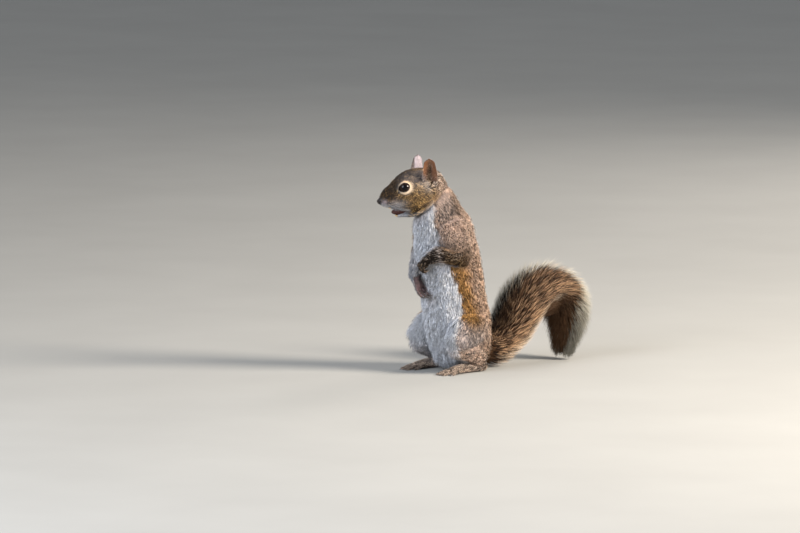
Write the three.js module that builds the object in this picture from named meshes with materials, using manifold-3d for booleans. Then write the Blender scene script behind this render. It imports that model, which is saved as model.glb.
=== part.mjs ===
// An eastern grey squirrel standing upright on its hind feet with its forepaws held low in
// front of the chest, life size, in millimetres. It faces -Y, its left side is +X, the floor
// is z = 0 and every surface is the outside of the coat.
import * as THREE from "three";
import Module from "manifold-3d";

const wasm = await Module();
wasm.setup();

// Driving sizes and angles.
const seam = 0.35; // open gap between neighbouring pieces
const headYaw = 16; // degrees that the head turns to its own right
const headPitch = 18; // degrees that the nose drops below level
const headBase = [0, -21, 194]; // the back of the skull, on the head's own axis
const neckCut = 158; // height where the neck meets the trunk
const eyeRadius = 5.7;
const fingerRadius = 1.85;
const toeRadius = 2.3;
const clawRadius = 0.95;
const soleHeight = 0; // the level that every sole is cut to

const degrees = Math.PI / 180;
const lateral = new THREE.Vector3(1, 0, 0);
const upward = new THREE.Vector3(0, 0, 1);
const point = (x, y, z) => new THREE.Vector3(x, y, z);

// One cross-section: a centre, a half width along the lateral direction, a half depth across
// it, and a taper that narrows the upper half and widens the lower one.
const station = (at, wide, deep, taper = 0) => ({ at, wide, deep, taper });

// The same limb on the other side of the body.
const mirrored = (stations) =>
  stations.map((s) => ({ ...s, at: point(-s.at.x, s.at.y, s.at.z) }));

// A closed surface over a list of rings with equal numbers of points, with a pole at each end.
function closedSurface(rings, poles) {
  const sides = rings[0].length;
  const points = [poles[0], ...rings.flat(), poles[1]];
  const index = [];
  const at = (ring, side) => 1 + ring * sides + (side % sides);
  const end = points.length - 1;
  for (let side = 0; side < sides; side++) {
    index.push(0, at(0, side + 1), at(0, side));
    index.push(end, at(rings.length - 1, side), at(rings.length - 1, side + 1));
    for (let ring = 0; ring + 1 < rings.length; ring++) {
      index.push(at(ring, side), at(ring, side + 1), at(ring + 1, side));
      index.push(at(ring, side + 1), at(ring + 1, side + 1), at(ring + 1, side));
    }
  }
  return new THREE.BufferGeometry().setFromPoints(points).setIndex(index);
}

// The solid inside a closed surface, whichever way its triangles were wound.
function solidOf(geometry) {
  const corners = geometry.attributes.position.array;
  const make = (triVerts) =>
    new wasm.Manifold(new wasm.Mesh({ numProp: 3, vertProperties: corners, triVerts }));
  const triangles = new Uint32Array(geometry.index.array);
  const made = make(triangles);
  return made.volume() > 0 ? made : make(triangles.reverse());
}

// A body of changing elliptical section carried along a smooth curve through its stations,
// with rounded ends. The section's depth points along the path's direction crossed with side.
function loft(stations, options = {}) {
  const { sides = 12, steps = 2, side = lateral, grow = 0, capSteps = 2, round = 0.8 } = options;
  const path = new THREE.CatmullRomCurve3(stations.map((s) => s.at));
  const girth = new THREE.CatmullRomCurve3(
    stations.map((s) => point(s.wide, s.deep, s.taper)),
  );
  const ring = (t, shrink, slide) => {
    const along = path.getTangent(t);
    const up = along.clone().cross(side).normalize();
    const across = up.clone().cross(along).normalize();
    const centre = path.getPoint(t).addScaledVector(along, slide);
    const size = girth.getPoint(t);
    return Array.from({ length: sides }, (_, i) => {
      const turn = (i / sides) * 2 * Math.PI;
      const narrowing = 1 - size.z * Math.sin(turn);
      return centre
        .clone()
        .addScaledVector(across, (size.x + grow) * shrink * narrowing * Math.cos(turn))
        .addScaledVector(up, (size.y + grow) * shrink * Math.sin(turn));
    });
  };
  const capLength = (t) => {
    const size = girth.getPoint(t);
    return Math.min(size.x, size.y) * round + grow;
  };
  const rings = [];
  for (let i = capSteps; i > 0; i--) {
    const angle = (i / (capSteps + 1)) * 90 * degrees;
    rings.push(ring(0, Math.cos(angle), -capLength(0) * Math.sin(angle)));
  }
  const count = steps * (stations.length - 1);
  for (let i = 0; i <= count; i++) rings.push(ring(i / count, 1, 0));
  for (let i = 1; i <= capSteps; i++) {
    const angle = (i / (capSteps + 1)) * 90 * degrees;
    rings.push(ring(1, Math.cos(angle), capLength(1) * Math.sin(angle)));
  }
  const pole = (t, way) =>
    path.getPoint(t).addScaledVector(path.getTangent(t), way * capLength(t));
  return solidOf(closedSurface(rings, [pole(0, -1), pole(1, 1)]));
}

const joined = (solids) => solids.reduce((all, one) => all.add(one));

// What lies on the side of a plane that its normal points to.
function keepBeyond(solid, onPlane, normal) {
  const size = 800;
  const box = new THREE.BoxGeometry(size, size, size).translate(0, 0, -size / 2);
  box.applyQuaternion(new THREE.Quaternion().setFromUnitVectors(upward, normal));
  box.translate(onPlane.x, onPlane.y, onPlane.z);
  return solid.subtract(weldedSolid(box));
}

// A box's faces have their own corners, which a solid needs to share.
function weldedSolid(geometry) {
  const source = geometry.attributes.position;
  const corners = [];
  const index = Array.from(geometry.index.array, (i) => {
    const corner = point(source.getX(i), source.getY(i), source.getZ(i));
    const known = corners.findIndex((c) => c.distanceTo(corner) < 1e-3);
    return known < 0 ? corners.push(corner) - 1 : known;
  });
  return solidOf(new THREE.BufferGeometry().setFromPoints(corners).setIndex(index));
}

// ---- Head ----
// Head positions are (forward along the muzzle, out to the animal's left, up).
const forward = point(
  -Math.sin(headYaw * degrees) * Math.cos(headPitch * degrees),
  -Math.cos(headYaw * degrees) * Math.cos(headPitch * degrees),
  -Math.sin(headPitch * degrees),
);
const leftward = point(Math.cos(headYaw * degrees), -Math.sin(headYaw * degrees), 0);
const crownward = forward.clone().cross(leftward);

function onHead(along, left, up) {
  return point(...headBase)
    .addScaledVector(forward, along)
    .addScaledVector(leftward, left)
    .addScaledVector(crownward, up);
}

// A section of the head from its top and bottom lines.
const profile = (along, top, bottom, wide, taper = 0) =>
  station(onHead(along, 0, (top + bottom) / 2), wide, (top - bottom) / 2, taper);

// The skull with cheeks and upper lip, from the nape to just behind the nose.
const skull = [
  profile(-5, 3.2, -15, 12),
  profile(3, 10.5, -20.5, 17),
  profile(12, 15.3, -25, 20, 0.04),
  profile(21, 17.2, -27, 21, 0.1),
  profile(30, 17, -26.4, 20.2, 0.16),
  profile(38.5, 14.5, -22.6, 17.4, 0.2),
  profile(45, 12, -18, 13.6, 0.2),
  profile(51, 9.3, -13.6, 10.6, 0.18),
  profile(57, 5.4, -10.4, 7.9, 0.1),
  profile(61.3, 2.2, -7, 5.3),
];

// The lower jaw, dropped a little so that the mouth stands open, and the tongue in it.
const jawline = [
  profile(27, -14, -28.4, 12.5),
  profile(35.5, -18.4, -27.9, 11),
  profile(42.5, -20, -25.4, 8),
  profile(48.4, -20.5, -23.5, 4.8),
];
const tongue = [
  station(onHead(40, 0, -19.5), 4.4, 1.8),
  station(onHead(46.5, 0, -18.9), 4, 1.6),
  station(onHead(50.6, 0, -18.2), 3, 1.3),
];

// Paired cutting teeth, side by side, in one piece with the bone they grow from.
const upperTeeth = [
  station(onHead(52.2, 0, -10), 1.8, 1.2),
  station(onHead(52.6, 0, -13.6), 1.7, 1),
  station(onHead(51.9, 0, -15.8), 1.5, 0.6),
];
const lowerTeeth = [
  station(onHead(47, 0, -22), 1.6, 1.1),
  station(onHead(50.4, 0, -20.2), 1.4, 0.9),
  station(onHead(51.6, 0, -18.3), 1.2, 0.6),
];

const eyeAt = (side) => onHead(36.3, side * 10.9, 5.8);

function eye(side, grow) {
  const at = eyeAt(side);
  const ball = new THREE.SphereGeometry(eyeRadius + grow, 14, 8).translate(at.x, at.y, at.z);
  return weldedSolid(ball);
}

function nose(grow) {
  const pad = [
    station(onHead(59.8, 0, -2.2), 3.3, 3.5),
    station(onHead(62.6, 0, -1.8), 2.9, 2.7),
  ];
  return loft(pad, { sides: 10, steps: 1, side: leftward, grow, capSteps: 1, round: 0.5 });
}

// The ear is a cupped leaf: each row of it is a crescent, thickest in the middle and filled
// in at its foot. Its size runs from the notch at its foot to the tip.
const ear = {
  foot: [12, 15.4, -1.5],
  leftTip: [4.7, 19.3, 26.2],
  rightTip: [0.8, 19.3, 24.2], // laid back a little
  leftFacing: [0.62, 0.78, 0.05], // where the hollow side looks
  rightFacing: [0.3, 0.95, 0.05],
  halfWidths: [5.2, 7.0, 7.7, 7.2, 5.6, 3.1],
  cup: [3.6, 4.6, 4.2, 3.2, 2.0, 0.8],
  thickness: 1.8,
  wrap: 75, // degrees each side that a row bends round
  filled: 0.28, // share of the height over which the hollow opens
};

function earShape(side, grow) {
  const toHead = ([along, left, up]) => onHead(along, side * left, up);
  const foot = toHead(ear.foot);
  const tip = toHead(side > 0 ? ear.leftTip : ear.rightTip);
  const rise = tip.clone().sub(foot);
  const height = rise.length();
  rise.normalize();
  const facing = toHead(side > 0 ? ear.leftFacing : ear.rightFacing).sub(point(...headBase));
  facing.addScaledVector(rise, -facing.dot(rise)).normalize();
  const across = rise.clone().cross(facing);
  const outline = new THREE.CatmullRomCurve3(
    ear.halfWidths.map((wide, i) => point(wide, ear.cup[i], 0)),
  );
  const half = 6; // points along each side of a crescent
  const wrap = ear.wrap * degrees;
  const row = (t, shrink, lift) => {
    const size = outline.getPoint(t);
    const fill = Math.max(0, 1 - t / ear.filled);
    const centre = foot.clone().addScaledVector(rise, height * 0.94 * t + lift);
    const edge = (share, inner) => {
      const turn = share * wrap;
      const bend = (Math.cos(turn) - Math.cos(wrap)) / (1 - Math.cos(wrap));
      const rim = Math.cos(share * 90 * degrees);
      const wall = ear.thickness * (0.45 + 0.55 * rim) + fill * size.y * bend;
      const out = -size.y * bend - grow + (inner ? wall + 2 * grow : 0);
      return centre
        .clone()
        .addScaledVector(across, ((size.x + grow) * shrink * Math.sin(turn)) / Math.sin(wrap))
        .addScaledVector(facing, out * shrink);
    };
    const shares = Array.from({ length: half }, (_, i) => -1 + (2 * i) / (half - 1));
    return [
      ...shares.map((share) => edge(share, false)),
      ...shares.reverse().map((share) => edge(share, true)),
    ];
  };
  const rings = [row(0, 0.7, -2.5 - grow)];
  const rows = 6;
  for (let i = 0; i <= rows; i++) rings.push(row(i / rows, 1, 0));
  rings.push(row(1, 0.6, height * 0.04 + grow));
  const middle = (ring) =>
    ring.reduce((sum, p) => sum.add(p), point(0, 0, 0)).divideScalar(ring.length);
  const last = rings.length - 1;
  const poles = [
    middle(rings[0]).addScaledVector(rise, -1),
    middle(rings[last]).addScaledVector(rise, 1 + grow),
  ];
  return solidOf(closedSurface(rings, poles));
}

const small = { sides: 6, steps: 1, side: leftward, capSteps: 1, round: 0.5 };

function head(grow) {
  const cranium = loft(skull, { sides: 18, steps: 1, side: leftward, grow, round: 0.6 });
  return cranium.add(loft(upperTeeth, { ...small, grow }));
}

function jaw(grow) {
  const bone = loft(jawline, { sides: 10, steps: 1, side: leftward, grow, round: 0.5 });
  return joined([bone, loft(lowerTeeth, { ...small, grow }), loft(tongue, { ...small, grow })]);
}

// ---- Body ----
// The spine runs from the seat up to the skull, and leans forward as it rises.
const spine = [
  station(point(0, 13.5, 26), 30, 30.5),
  station(point(0, 9.5, 46), 33, 32.5),
  station(point(0, 5, 71), 31, 32),
  station(point(0, 1, 96), 30, 31.5),
  station(point(0, -4.5, 120), 29, 32),
  station(point(0, -9.5, 141), 27, 30),
  station(point(0, -16, 158), 23, 25.5),
  station(point(0, -20, 174), 18, 19.5),
  station(point(0, -25, 186), 13.5, 14.5),
];

const torso = (grow) => loft(spine, { sides: 20, steps: 1, grow });
const neckLevel = point(0, 0, neckCut);
const trunk = (grow) =>
  keepBeyond(torso(grow), neckLevel.clone().addScaledVector(upward, grow), upward.clone().negate());
const neck = (grow) =>
  keepBeyond(torso(grow), neckLevel.clone().addScaledVector(upward, seam - grow), upward);

// ---- Arms ----
const leftArm = {
  upper: [
    station(point(18, -13, 146), 12.5, 15),
    station(point(26, -13, 133), 12, 15),
    station(point(32.5, -10.5, 120), 9.5, 11),
  ],
  fore: [
    station(point(32.5, -11.5, 118.5), 10, 10),
    station(point(22, -29, 120), 8.2, 8.6),
    station(point(14, -41, 114.6), 5, 5),
  ],
};
const rightArm = {
  upper: [
    station(point(-18, -13, 146), 12.5, 15),
    station(point(-25.5, -12, 133), 10.5, 12.5),
    station(point(-30.5, -10, 121), 8.5, 9.5),
  ],
  fore: [
    station(point(-30.5, -11, 120), 9, 9),
    station(point(-20.5, -24.5, 113), 6.8, 6.8),
    station(point(-9.2, -40, 100), 4.3, 4.3),
  ],
};

const upperArm = (arm, grow) => loft(arm.upper, { sides: 10, grow });
const forearm = (arm, grow) => loft(arm.fore, { sides: 10, side: upward, grow });

// A finger or toe: bones that bend by equal steps towards the palm, then a hooked claw.
function digit({ base, way, palmar, lengths, bend, radius, claw, grow }) {
  const hinge = way.clone().cross(palmar).normalize();
  const turned = (angle) => way.clone().applyAxisAngle(hinge, angle * degrees);
  const bones = [station(base, radius, radius)];
  let at = base.clone();
  lengths.forEach((length, i) => {
    at = at.clone().addScaledVector(turned(bend * (i + 0.5)), length);
    bones.push(station(at, radius * (1 - 0.07 * (i + 1)), radius * (1 - 0.07 * (i + 1))));
  });
  const hook = [station(at, clawRadius, clawRadius)];
  [0.5, 0.5].forEach((share, i) => {
    const onward = turned(bend * lengths.length + 25 * (i + 0.4));
    at = at.clone().addScaledVector(onward, claw * share + (i ? 0 : radius * 0.7));
    hook.push(station(at, clawRadius * (0.75 - 0.4 * i), clawRadius * (0.85 - 0.45 * i)));
  });
  const side = hinge;
  return [
    loft(bones, { sides: 5, steps: 1, side, grow, capSteps: 1 }),
    loft(hook, { sides: 4, steps: 1, side, grow, capSteps: 0, round: 0.6 }),
  ];
}

// A forepaw: a flat palm from the wrist, four fingers fanned out from its end and the stub of
// a thumb.
function forepaw({ wrist, way, palmar, reach, bend, fingers }, grow) {
  const along = way.clone().normalize();
  const inward = palmar.clone().addScaledVector(along, -palmar.dot(along)).normalize();
  const across = along.clone().cross(inward);
  const spot = (far, out, deep) =>
    wrist
      .clone()
      .addScaledVector(along, far)
      .addScaledVector(across, out)
      .addScaledVector(inward, deep);
  const palm = loft(
    [
      station(spot(0, 0, 0), 4.4, 3.8),
      station(spot(reach * 0.3, 0, 0.8), 5.1, 4.3),
      station(spot(reach, 0, 0.3), 5.9, 3),
    ],
    { sides: 8, steps: 1, side: across, grow, capSteps: 1 },
  );
  const parts = [palm];
  for (let i = 0; i < 4; i++) {
    const out = i - 1.5;
    const fan = along.clone().applyAxisAngle(inward, -out * 9 * degrees);
    const base = spot(reach, out * 3, 0);
    const lengths = fingers.map((length) => length * (Math.abs(out) < 1 ? 1 : 0.88));
    const radius = fingerRadius;
    parts.push(
      ...digit({ base, way: fan, palmar: inward, lengths, bend, radius, claw: 3.6, grow }),
    );
  }
  const thumb = [station(spot(2.5, -4, 1.4), 1.7, 1.7), station(spot(5.2, -5.6, 2.6), 1.4, 1.4)];
  parts.push(loft(thumb, { sides: 6, steps: 1, side: inward, grow, capSteps: 1 }));
  return joined(parts);
}

// The left paw is bent down and closed. The right one hangs half open.
const leftPaw = {
  wrist: point(13.4, -42, 113.6),
  way: point(-0.45, -0.45, -0.77),
  palmar: point(-0.1, 0.85, -0.5),
  reach: 6,
  bend: 68,
  fingers: [4, 3.2],
};
const rightPaw = {
  wrist: point(-9, -40.6, 99),
  way: point(0.2, 0.23, -0.95),
  palmar: point(0.35, 0.93, 0.1),
  reach: 13.5,
  bend: 18,
  fingers: [6.6, 5.6],
};

// ---- Hind legs, left side ----
const thighs = [
  station(point(18, 13, 52), 20, 22.5),
  station(point(25.5, 0, 44), 16.5, 19),
  station(point(30.5, -13, 34), 13, 14),
];
const shanks = [
  station(point(30, -15, 27), 10.5, 10.5),
  station(point(28, 2, 19), 9.5, 10.5),
  station(point(27, 17, 11.5), 7, 9),
];
const footBones = [
  station(point(26, 21, 5.2), 5.6, 6.2),
  station(point(26.5, 7, 5), 5.8, 6),
  station(point(28, -10, 4.2), 7, 5),
  station(point(29, -19, 3.2), 7.8, 4.2),
];
const toes = { across: 29, reach: -20, spread: 3.3, fan: 7, lengths: [7.6, 7], bend: 8, claw: 4 };

function limb(stations, side, options) {
  return loft(side > 0 ? stations : mirrored(stations), { sides: 10, ...options });
}

function hindFoot(side, grow) {
  const parts = [limb(footBones, side, { sides: 10, steps: 1, grow })];
  for (let i = 0; i < 5; i++) {
    const out = i - 2;
    const way = point(0, -1, -0.06).applyAxisAngle(upward, out * toes.fan * degrees);
    const set = Math.abs(out) === 2 ? 4.5 : 0; // the outer toes grow further back
    const base = point(toes.across + out * toes.spread, toes.reach + set, 3.4);
    const shorter = Math.abs(out) === 2 ? 0.82 : 1;
    const shape = {
      base: point(side * base.x, base.y, base.z),
      way: point(side * way.x, way.y, way.z).normalize(),
      palmar: point(0, 0, -1),
      lengths: toes.lengths.map((length) => length * shorter),
      bend: toes.bend,
      radius: toeRadius,
      claw: toes.claw,
      grow,
    };
    parts.push(...digit(shape));
  }
  const level = upward.clone().multiplyScalar(soleHeight - grow);
  return keepBeyond(joined(parts), level, upward);
}

// ---- Tail ----
// The brush lies back along the floor, rises, arches over and comes down to the floor again.
const brush = [
  station(point(0, 33, 15), 23, 14),
  station(point(0, 55, 15), 26, 15.5),
  station(point(0, 76, 33), 33, 16),
  station(point(0, 89, 56), 38, 16.5),
  station(point(0, 104, 75), 39, 18),
  station(point(0, 124, 82), 39, 20),
  station(point(0, 142, 74), 38, 18),
  station(point(0, 150, 55), 37, 17),
  station(point(0, 152, 36), 31, 15),
  station(point(0, 149, 20), 22, 12),
  station(point(0, 146, 9), 15, 9),
];
const tailCuts = [
  { at: point(0, 66, 23), normal: point(0, 0.75, 0.66) },
  { at: point(0, 112, 78), normal: point(0, 1, 0) },
  { at: point(0, 142, 74), normal: point(0, 0.72, -0.69) },
];

function tailLength(index, grow) {
  let part = loft(brush, { sides: 12, grow, round: 1.2 });
  const before = tailCuts[index - 1];
  const after = tailCuts[index];
  if (before) {
    const normal = before.normal.clone().normalize();
    part = keepBeyond(part, before.at.clone().addScaledVector(normal, seam - grow), normal);
  }
  if (after) {
    const normal = after.normal.clone().normalize();
    const edge = after.at.clone().addScaledVector(normal, grow);
    part = keepBeyond(part, edge, normal.clone().negate());
  }
  const level = upward.clone().multiplyScalar(soleHeight - grow);
  return keepBeyond(part, level, upward);
}

// ---- Pieces ----
// In cutting order: each piece is cut back by the ones before it, with the seam between them.
const coatColours = {
  grey: 0x8a7b6b,
  rust: 0xa07a4a,
  white: 0xd9d6d3,
  dark: 0x4d453d,
  brush: 0x7d6a58,
  ear: 0x9a7256,
  eye: 0x0b0a0c,
  nose: 0x4a3a35,
};
const pieces = [
  { name: "eye_left", form: (grow) => eye(1, grow), colour: "eye", roughness: 0.06 },
  { name: "eye_right", form: (grow) => eye(-1, grow), colour: "eye", roughness: 0.06 },
  { name: "nose", form: nose, colour: "nose", roughness: 0.5 },
  { name: "jaw", form: jaw, colour: "white" },
  { name: "head", form: head, colour: "grey" },
  { name: "ear_left", form: (grow) => earShape(1, grow), colour: "ear" },
  { name: "ear_right", form: (grow) => earShape(-1, grow), colour: "ear" },
  { name: "paw_left", form: (grow) => forepaw(leftPaw, grow), colour: "dark" },
  { name: "paw_right", form: (grow) => forepaw(rightPaw, grow), colour: "dark" },
  { name: "forearm_left", form: (grow) => forearm(leftArm, grow), colour: "dark" },
  { name: "forearm_right", form: (grow) => forearm(rightArm, grow), colour: "dark" },
  { name: "upper_arm_left", form: (grow) => upperArm(leftArm, grow), colour: "grey" },
  { name: "upper_arm_right", form: (grow) => upperArm(rightArm, grow), colour: "grey" },
  { name: "hind_foot_left", form: (grow) => hindFoot(1, grow), colour: "dark" },
  { name: "hind_foot_right", form: (grow) => hindFoot(-1, grow), colour: "dark" },
  { name: "shank_left", form: (grow) => limb(shanks, 1, { grow }), colour: "grey" },
  { name: "shank_right", form: (grow) => limb(shanks, -1, { grow }), colour: "grey" },
  { name: "thigh_left", form: (grow) => limb(thighs, 1, { grow }), colour: "grey" },
  { name: "thigh_right", form: (grow) => limb(thighs, -1, { grow }), colour: "grey" },
  { name: "tail_base", form: (grow) => tailLength(0, grow), colour: "brush" },
  { name: "tail_rise", form: (grow) => tailLength(1, grow), colour: "brush" },
  { name: "tail_arch", form: (grow) => tailLength(2, grow), colour: "brush" },
  { name: "tail_tip", form: (grow) => tailLength(3, grow), colour: "brush" },
  { name: "neck", form: neck, colour: "grey" },
  { name: "trunk", form: trunk, colour: "rust" },
];

const meets = (a, b) => {
  const p = a.boundingBox();
  const q = b.boundingBox();
  return [0, 1, 2].every((k) => p.min[k] < q.max[k] && q.min[k] < p.max[k]);
};

const squirrel = new THREE.Group();
const placed = [];
for (const piece of pieces) {
  let body = piece.form(0);
  for (const other of placed) {
    if (meets(body, other.grown)) body = body.subtract(other.grown);
  }
  const largestFirst = body.decompose().sort((a, b) => b.volume() - a.volume());
  placed.push({ grown: piece.form(seam) });
  const cut = largestFirst[0].getMesh();
  const geometry = new THREE.BufferGeometry()
    .setAttribute("position", new THREE.BufferAttribute(cut.vertProperties, 3))
    .setIndex(new THREE.BufferAttribute(cut.triVerts, 1));
  geometry.computeVertexNormals();
  const material = new THREE.MeshStandardMaterial({
    color: coatColours[piece.colour],
    roughness: piece.roughness ?? 0.9,
    metalness: 0,
  });
  const mesh = new THREE.Mesh(geometry, material);
  mesh.name = piece.name;
  squirrel.add(mesh);
}

// The origin is on the floor, under the middle of the animal's box.
const box = new THREE.Box3().setFromObject(squirrel);
const middle = box.getCenter(point(0, 0, 0));
squirrel.position.set(-middle.x, -middle.y, -box.min.z);

export default squirrel;
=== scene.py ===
import math

import bpy
import numpy as np
from mathutils import Matrix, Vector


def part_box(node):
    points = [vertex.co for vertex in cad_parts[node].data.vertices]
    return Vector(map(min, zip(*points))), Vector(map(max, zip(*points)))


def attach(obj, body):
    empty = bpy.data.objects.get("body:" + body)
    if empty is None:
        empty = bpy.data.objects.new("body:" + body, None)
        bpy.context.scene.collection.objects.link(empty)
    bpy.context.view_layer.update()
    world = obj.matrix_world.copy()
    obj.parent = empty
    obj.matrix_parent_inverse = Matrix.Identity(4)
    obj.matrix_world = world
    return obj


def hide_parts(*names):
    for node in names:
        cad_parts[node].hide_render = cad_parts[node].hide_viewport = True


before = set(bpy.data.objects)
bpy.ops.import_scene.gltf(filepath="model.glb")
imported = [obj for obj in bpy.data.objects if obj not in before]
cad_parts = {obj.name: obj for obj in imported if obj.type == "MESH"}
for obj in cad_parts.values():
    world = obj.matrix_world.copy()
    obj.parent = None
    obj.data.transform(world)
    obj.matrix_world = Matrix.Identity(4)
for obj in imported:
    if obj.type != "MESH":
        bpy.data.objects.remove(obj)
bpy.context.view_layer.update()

mm = 0.001
rng = np.random.default_rng(41)

# Shapes below are in millimetres in the body's own frame: +X its left, -Y the way its chest
# faces, +Z up. The head has a frame of its own: forward along the muzzle, out to the left, up.
head = {"yaw": 16, "pitch": 18, "base": (0, -21, 194), "eye": (36.3, 10.9, 5.8)}
yaw, pitch = math.radians(head["yaw"]), math.radians(head["pitch"])
forward = np.array([-math.sin(yaw) * math.cos(pitch), -math.cos(yaw) * math.cos(pitch), -math.sin(pitch)])
leftward = np.array([math.cos(yaw), -math.sin(yaw), 0.0])
crownward = np.cross(forward, leftward)
headAxes = np.stack([forward, leftward, crownward])


def onHead(places):
    # head base + forward·a + leftward·b + crownward·c
    return np.array(head["base"]) + np.asarray(places, float) @ headAxes


def inHead(points):
    # the same turned round: how far forward, left and up of the head's base
    return (points - np.array(head["base"])) @ headAxes.T


# the body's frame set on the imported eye, whose middle is known in both
eyeLow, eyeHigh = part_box("eye_left")
shift = (np.array(eyeLow) + np.array(eyeHigh)) / 2 - onHead(head["eye"]) * mm


def unit(vectors):
    return vectors / np.maximum(np.linalg.norm(vectors, axis=-1, keepdims=True), 1e-9)


def smoothstep(low, high, x):
    # 3t² − 2t³ of the share of the way from low to high
    t = np.clip((x - low) / (high - low), 0, 1)
    return t * t * (3 - 2 * t)


def softNoise(points, size, seed):
    # value noise: a hashed number at each lattice corner, blended by 3f² − 2f³; from −1 to 1
    cell = np.asarray(points, float) / size
    base = np.floor(cell).astype(np.int64)
    part = cell - base
    part = part * part * (3 - 2 * part)
    total = np.zeros(len(cell))
    for corner in np.ndindex(2, 2, 2):
        at = base + corner
        code = (at[:, 0] * 73856093) ^ (at[:, 1] * 19349663) ^ (at[:, 2] * 83492791) ^ (seed * 5915587277)
        code = (code ^ (code >> 13)) * 1274126177
        value = ((code ^ (code >> 16)) & 0xFFFFF) / 0xFFFFF * 2 - 1
        total += value * np.prod(np.where(corner, part, 1 - part), axis=1)
    return total


def toLinear(colour):
    # sRGB hex to linear: c/12.92 below 0.04045, else ((c + 0.055)/1.055)^2.4
    parts = [int(colour[i:i + 2], 16) / 255 for i in (1, 3, 5)]
    return tuple(c / 12.92 if c <= 0.04045 else ((c + 0.055) / 1.055) ** 2.4 for c in parts) + (1.0,)


# Camera: a long lens from the animal's left front, a little above the floor.
view = {"azimuth": 52, "elevation": 6.5, "distance": 8.889, "lens": 400, "across": -0.050, "above": 0.1035}


def addCamera():
    # the camera sits on the line of sight through a point set out from the body's origin
    a, e = math.radians(view["azimuth"]), math.radians(view["elevation"])
    right = np.array([math.cos(a), math.sin(a), 0])
    back = np.array([math.sin(a) * math.cos(e), -math.cos(a) * math.cos(e), math.sin(e)])
    up = np.cross(back, right)
    target = shift + right * view["across"] + up * view["above"]
    place = target + back * view["distance"]
    camera = bpy.data.objects.new("camera", bpy.data.cameras.new("camera"))
    camera.data.lens = view["lens"]
    camera.data.sensor_width = 36
    camera.data.clip_end = 200
    camera.matrix_world = Matrix(np.vstack([np.stack([right, up, back, place], 1), (0, 0, 0, 1)]).tolist())
    bpy.context.scene.collection.objects.link(camera)
    bpy.context.scene.camera = camera
    return right, up, back


right, up, back = addCamera()
print("camera placed")

# Body forms, each a path of stations (x, y, z, half width, half depth, taper towards the back).
# depth is how far the skin lies under the coat's outer surface there; hair lengths and widths
# are the coat's own, and density is tufts to a square millimetre.
coats = {
    "skull": {"depth": 1.1, "length": 4.2, "width": 0.4, "density": 2.7},
    "jaw": {"depth": 0.9, "length": 2.9, "width": 0.3, "density": 3.3},
    "nose": {"depth": 0.0, "length": 0.6, "width": 0.2, "density": 0.0},
    "ear": {"depth": 0.25, "length": 1.5, "width": 0.16, "density": 4.0},
    "spine": {"depth": 3.4, "length": 10.5, "width": 0.6, "density": 1.35},
    "upperArm": {"depth": 2.2, "length": 7.6, "width": 0.55, "density": 1.5},
    "forearm": {"depth": 1.1, "length": 6.2, "width": 0.56, "density": 1.7},
    "palm": {"depth": 0.35, "length": 2.3, "width": 0.26, "density": 3.4},
    "finger": {"depth": 0.25, "length": 1.6, "width": 0.2, "density": 3.6},
    "thigh": {"depth": 3.2, "length": 10.0, "width": 0.6, "density": 1.35},
    "shank": {"depth": 2.2, "length": 6.0, "width": 0.52, "density": 1.7},
    "foot": {"depth": 0.5, "length": 2.6, "width": 0.32, "density": 3.0},
    "toe": {"depth": 0.3, "length": 1.9, "width": 0.24, "density": 3.4},
    "tail": {"depth": 0.0, "length": 5.0, "width": 0.4, "density": 0.0},
}


def profile(along, top, bottom, wide, taper=0.0):
    # a head section from its top and bottom lines
    return (*onHead((along, 0, (top + bottom) / 2)), wide, (top - bottom) / 2, taper)


skull = [
    profile(-4, 0.5, -14.5, 11),
    profile(3, 10.5, -20.5, 17),
    profile(12, 15.3, -25, 20, 0.04),
    profile(21, 17.2, -27, 21, 0.1),
    profile(30, 17, -26.4, 20.2, 0.16),
    profile(38.5, 14.5, -22.6, 17.4, 0.2),
    profile(45, 12, -18, 13.6, 0.2),
    profile(51, 9.3, -13.6, 10.6, 0.18),
    profile(57, 5.4, -10.4, 7.9, 0.1),
    profile(61.3, 2.2, -7, 5.3),
]
jawline = [
    profile(27, -14, -28.4, 12.5),
    profile(35.5, -18.4, -27.9, 11),
    profile(42.5, -20, -25.4, 8),
    profile(48.4, -20.5, -23.5, 4.8),
]
tongue = [
    (*onHead((39, 0, -19.6)), 6.2, 1.6),
    (*onHead((45, 0, -18.9)), 5.6, 2.2),
    (*onHead((49.3, 0, -17.7)), 4.4, 2.6),
    (*onHead((51.6, 0, -16.9)), 3.2, 1.9),
]
nosePad = [(*onHead((59.8, 0, -2.2)), 3.3, 3.5), (*onHead((62.6, 0, -1.8)), 2.9, 2.7)]
spine = [
    (0, 13.5, 26, 30, 30.5),
    (0, 9.5, 46, 33, 32.5),
    (0, 5, 71, 31, 32),
    (0, 1, 96, 30, 31.5),
    (0, -4.5, 120, 29, 32),
    (0, -9.5, 141, 27, 30),
    (0, -16, 158, 23, 25.5),
    (0, -20, 174, 19.5, 19.5),
    (0, -25, 186, 15.5, 14.5),
]
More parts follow.
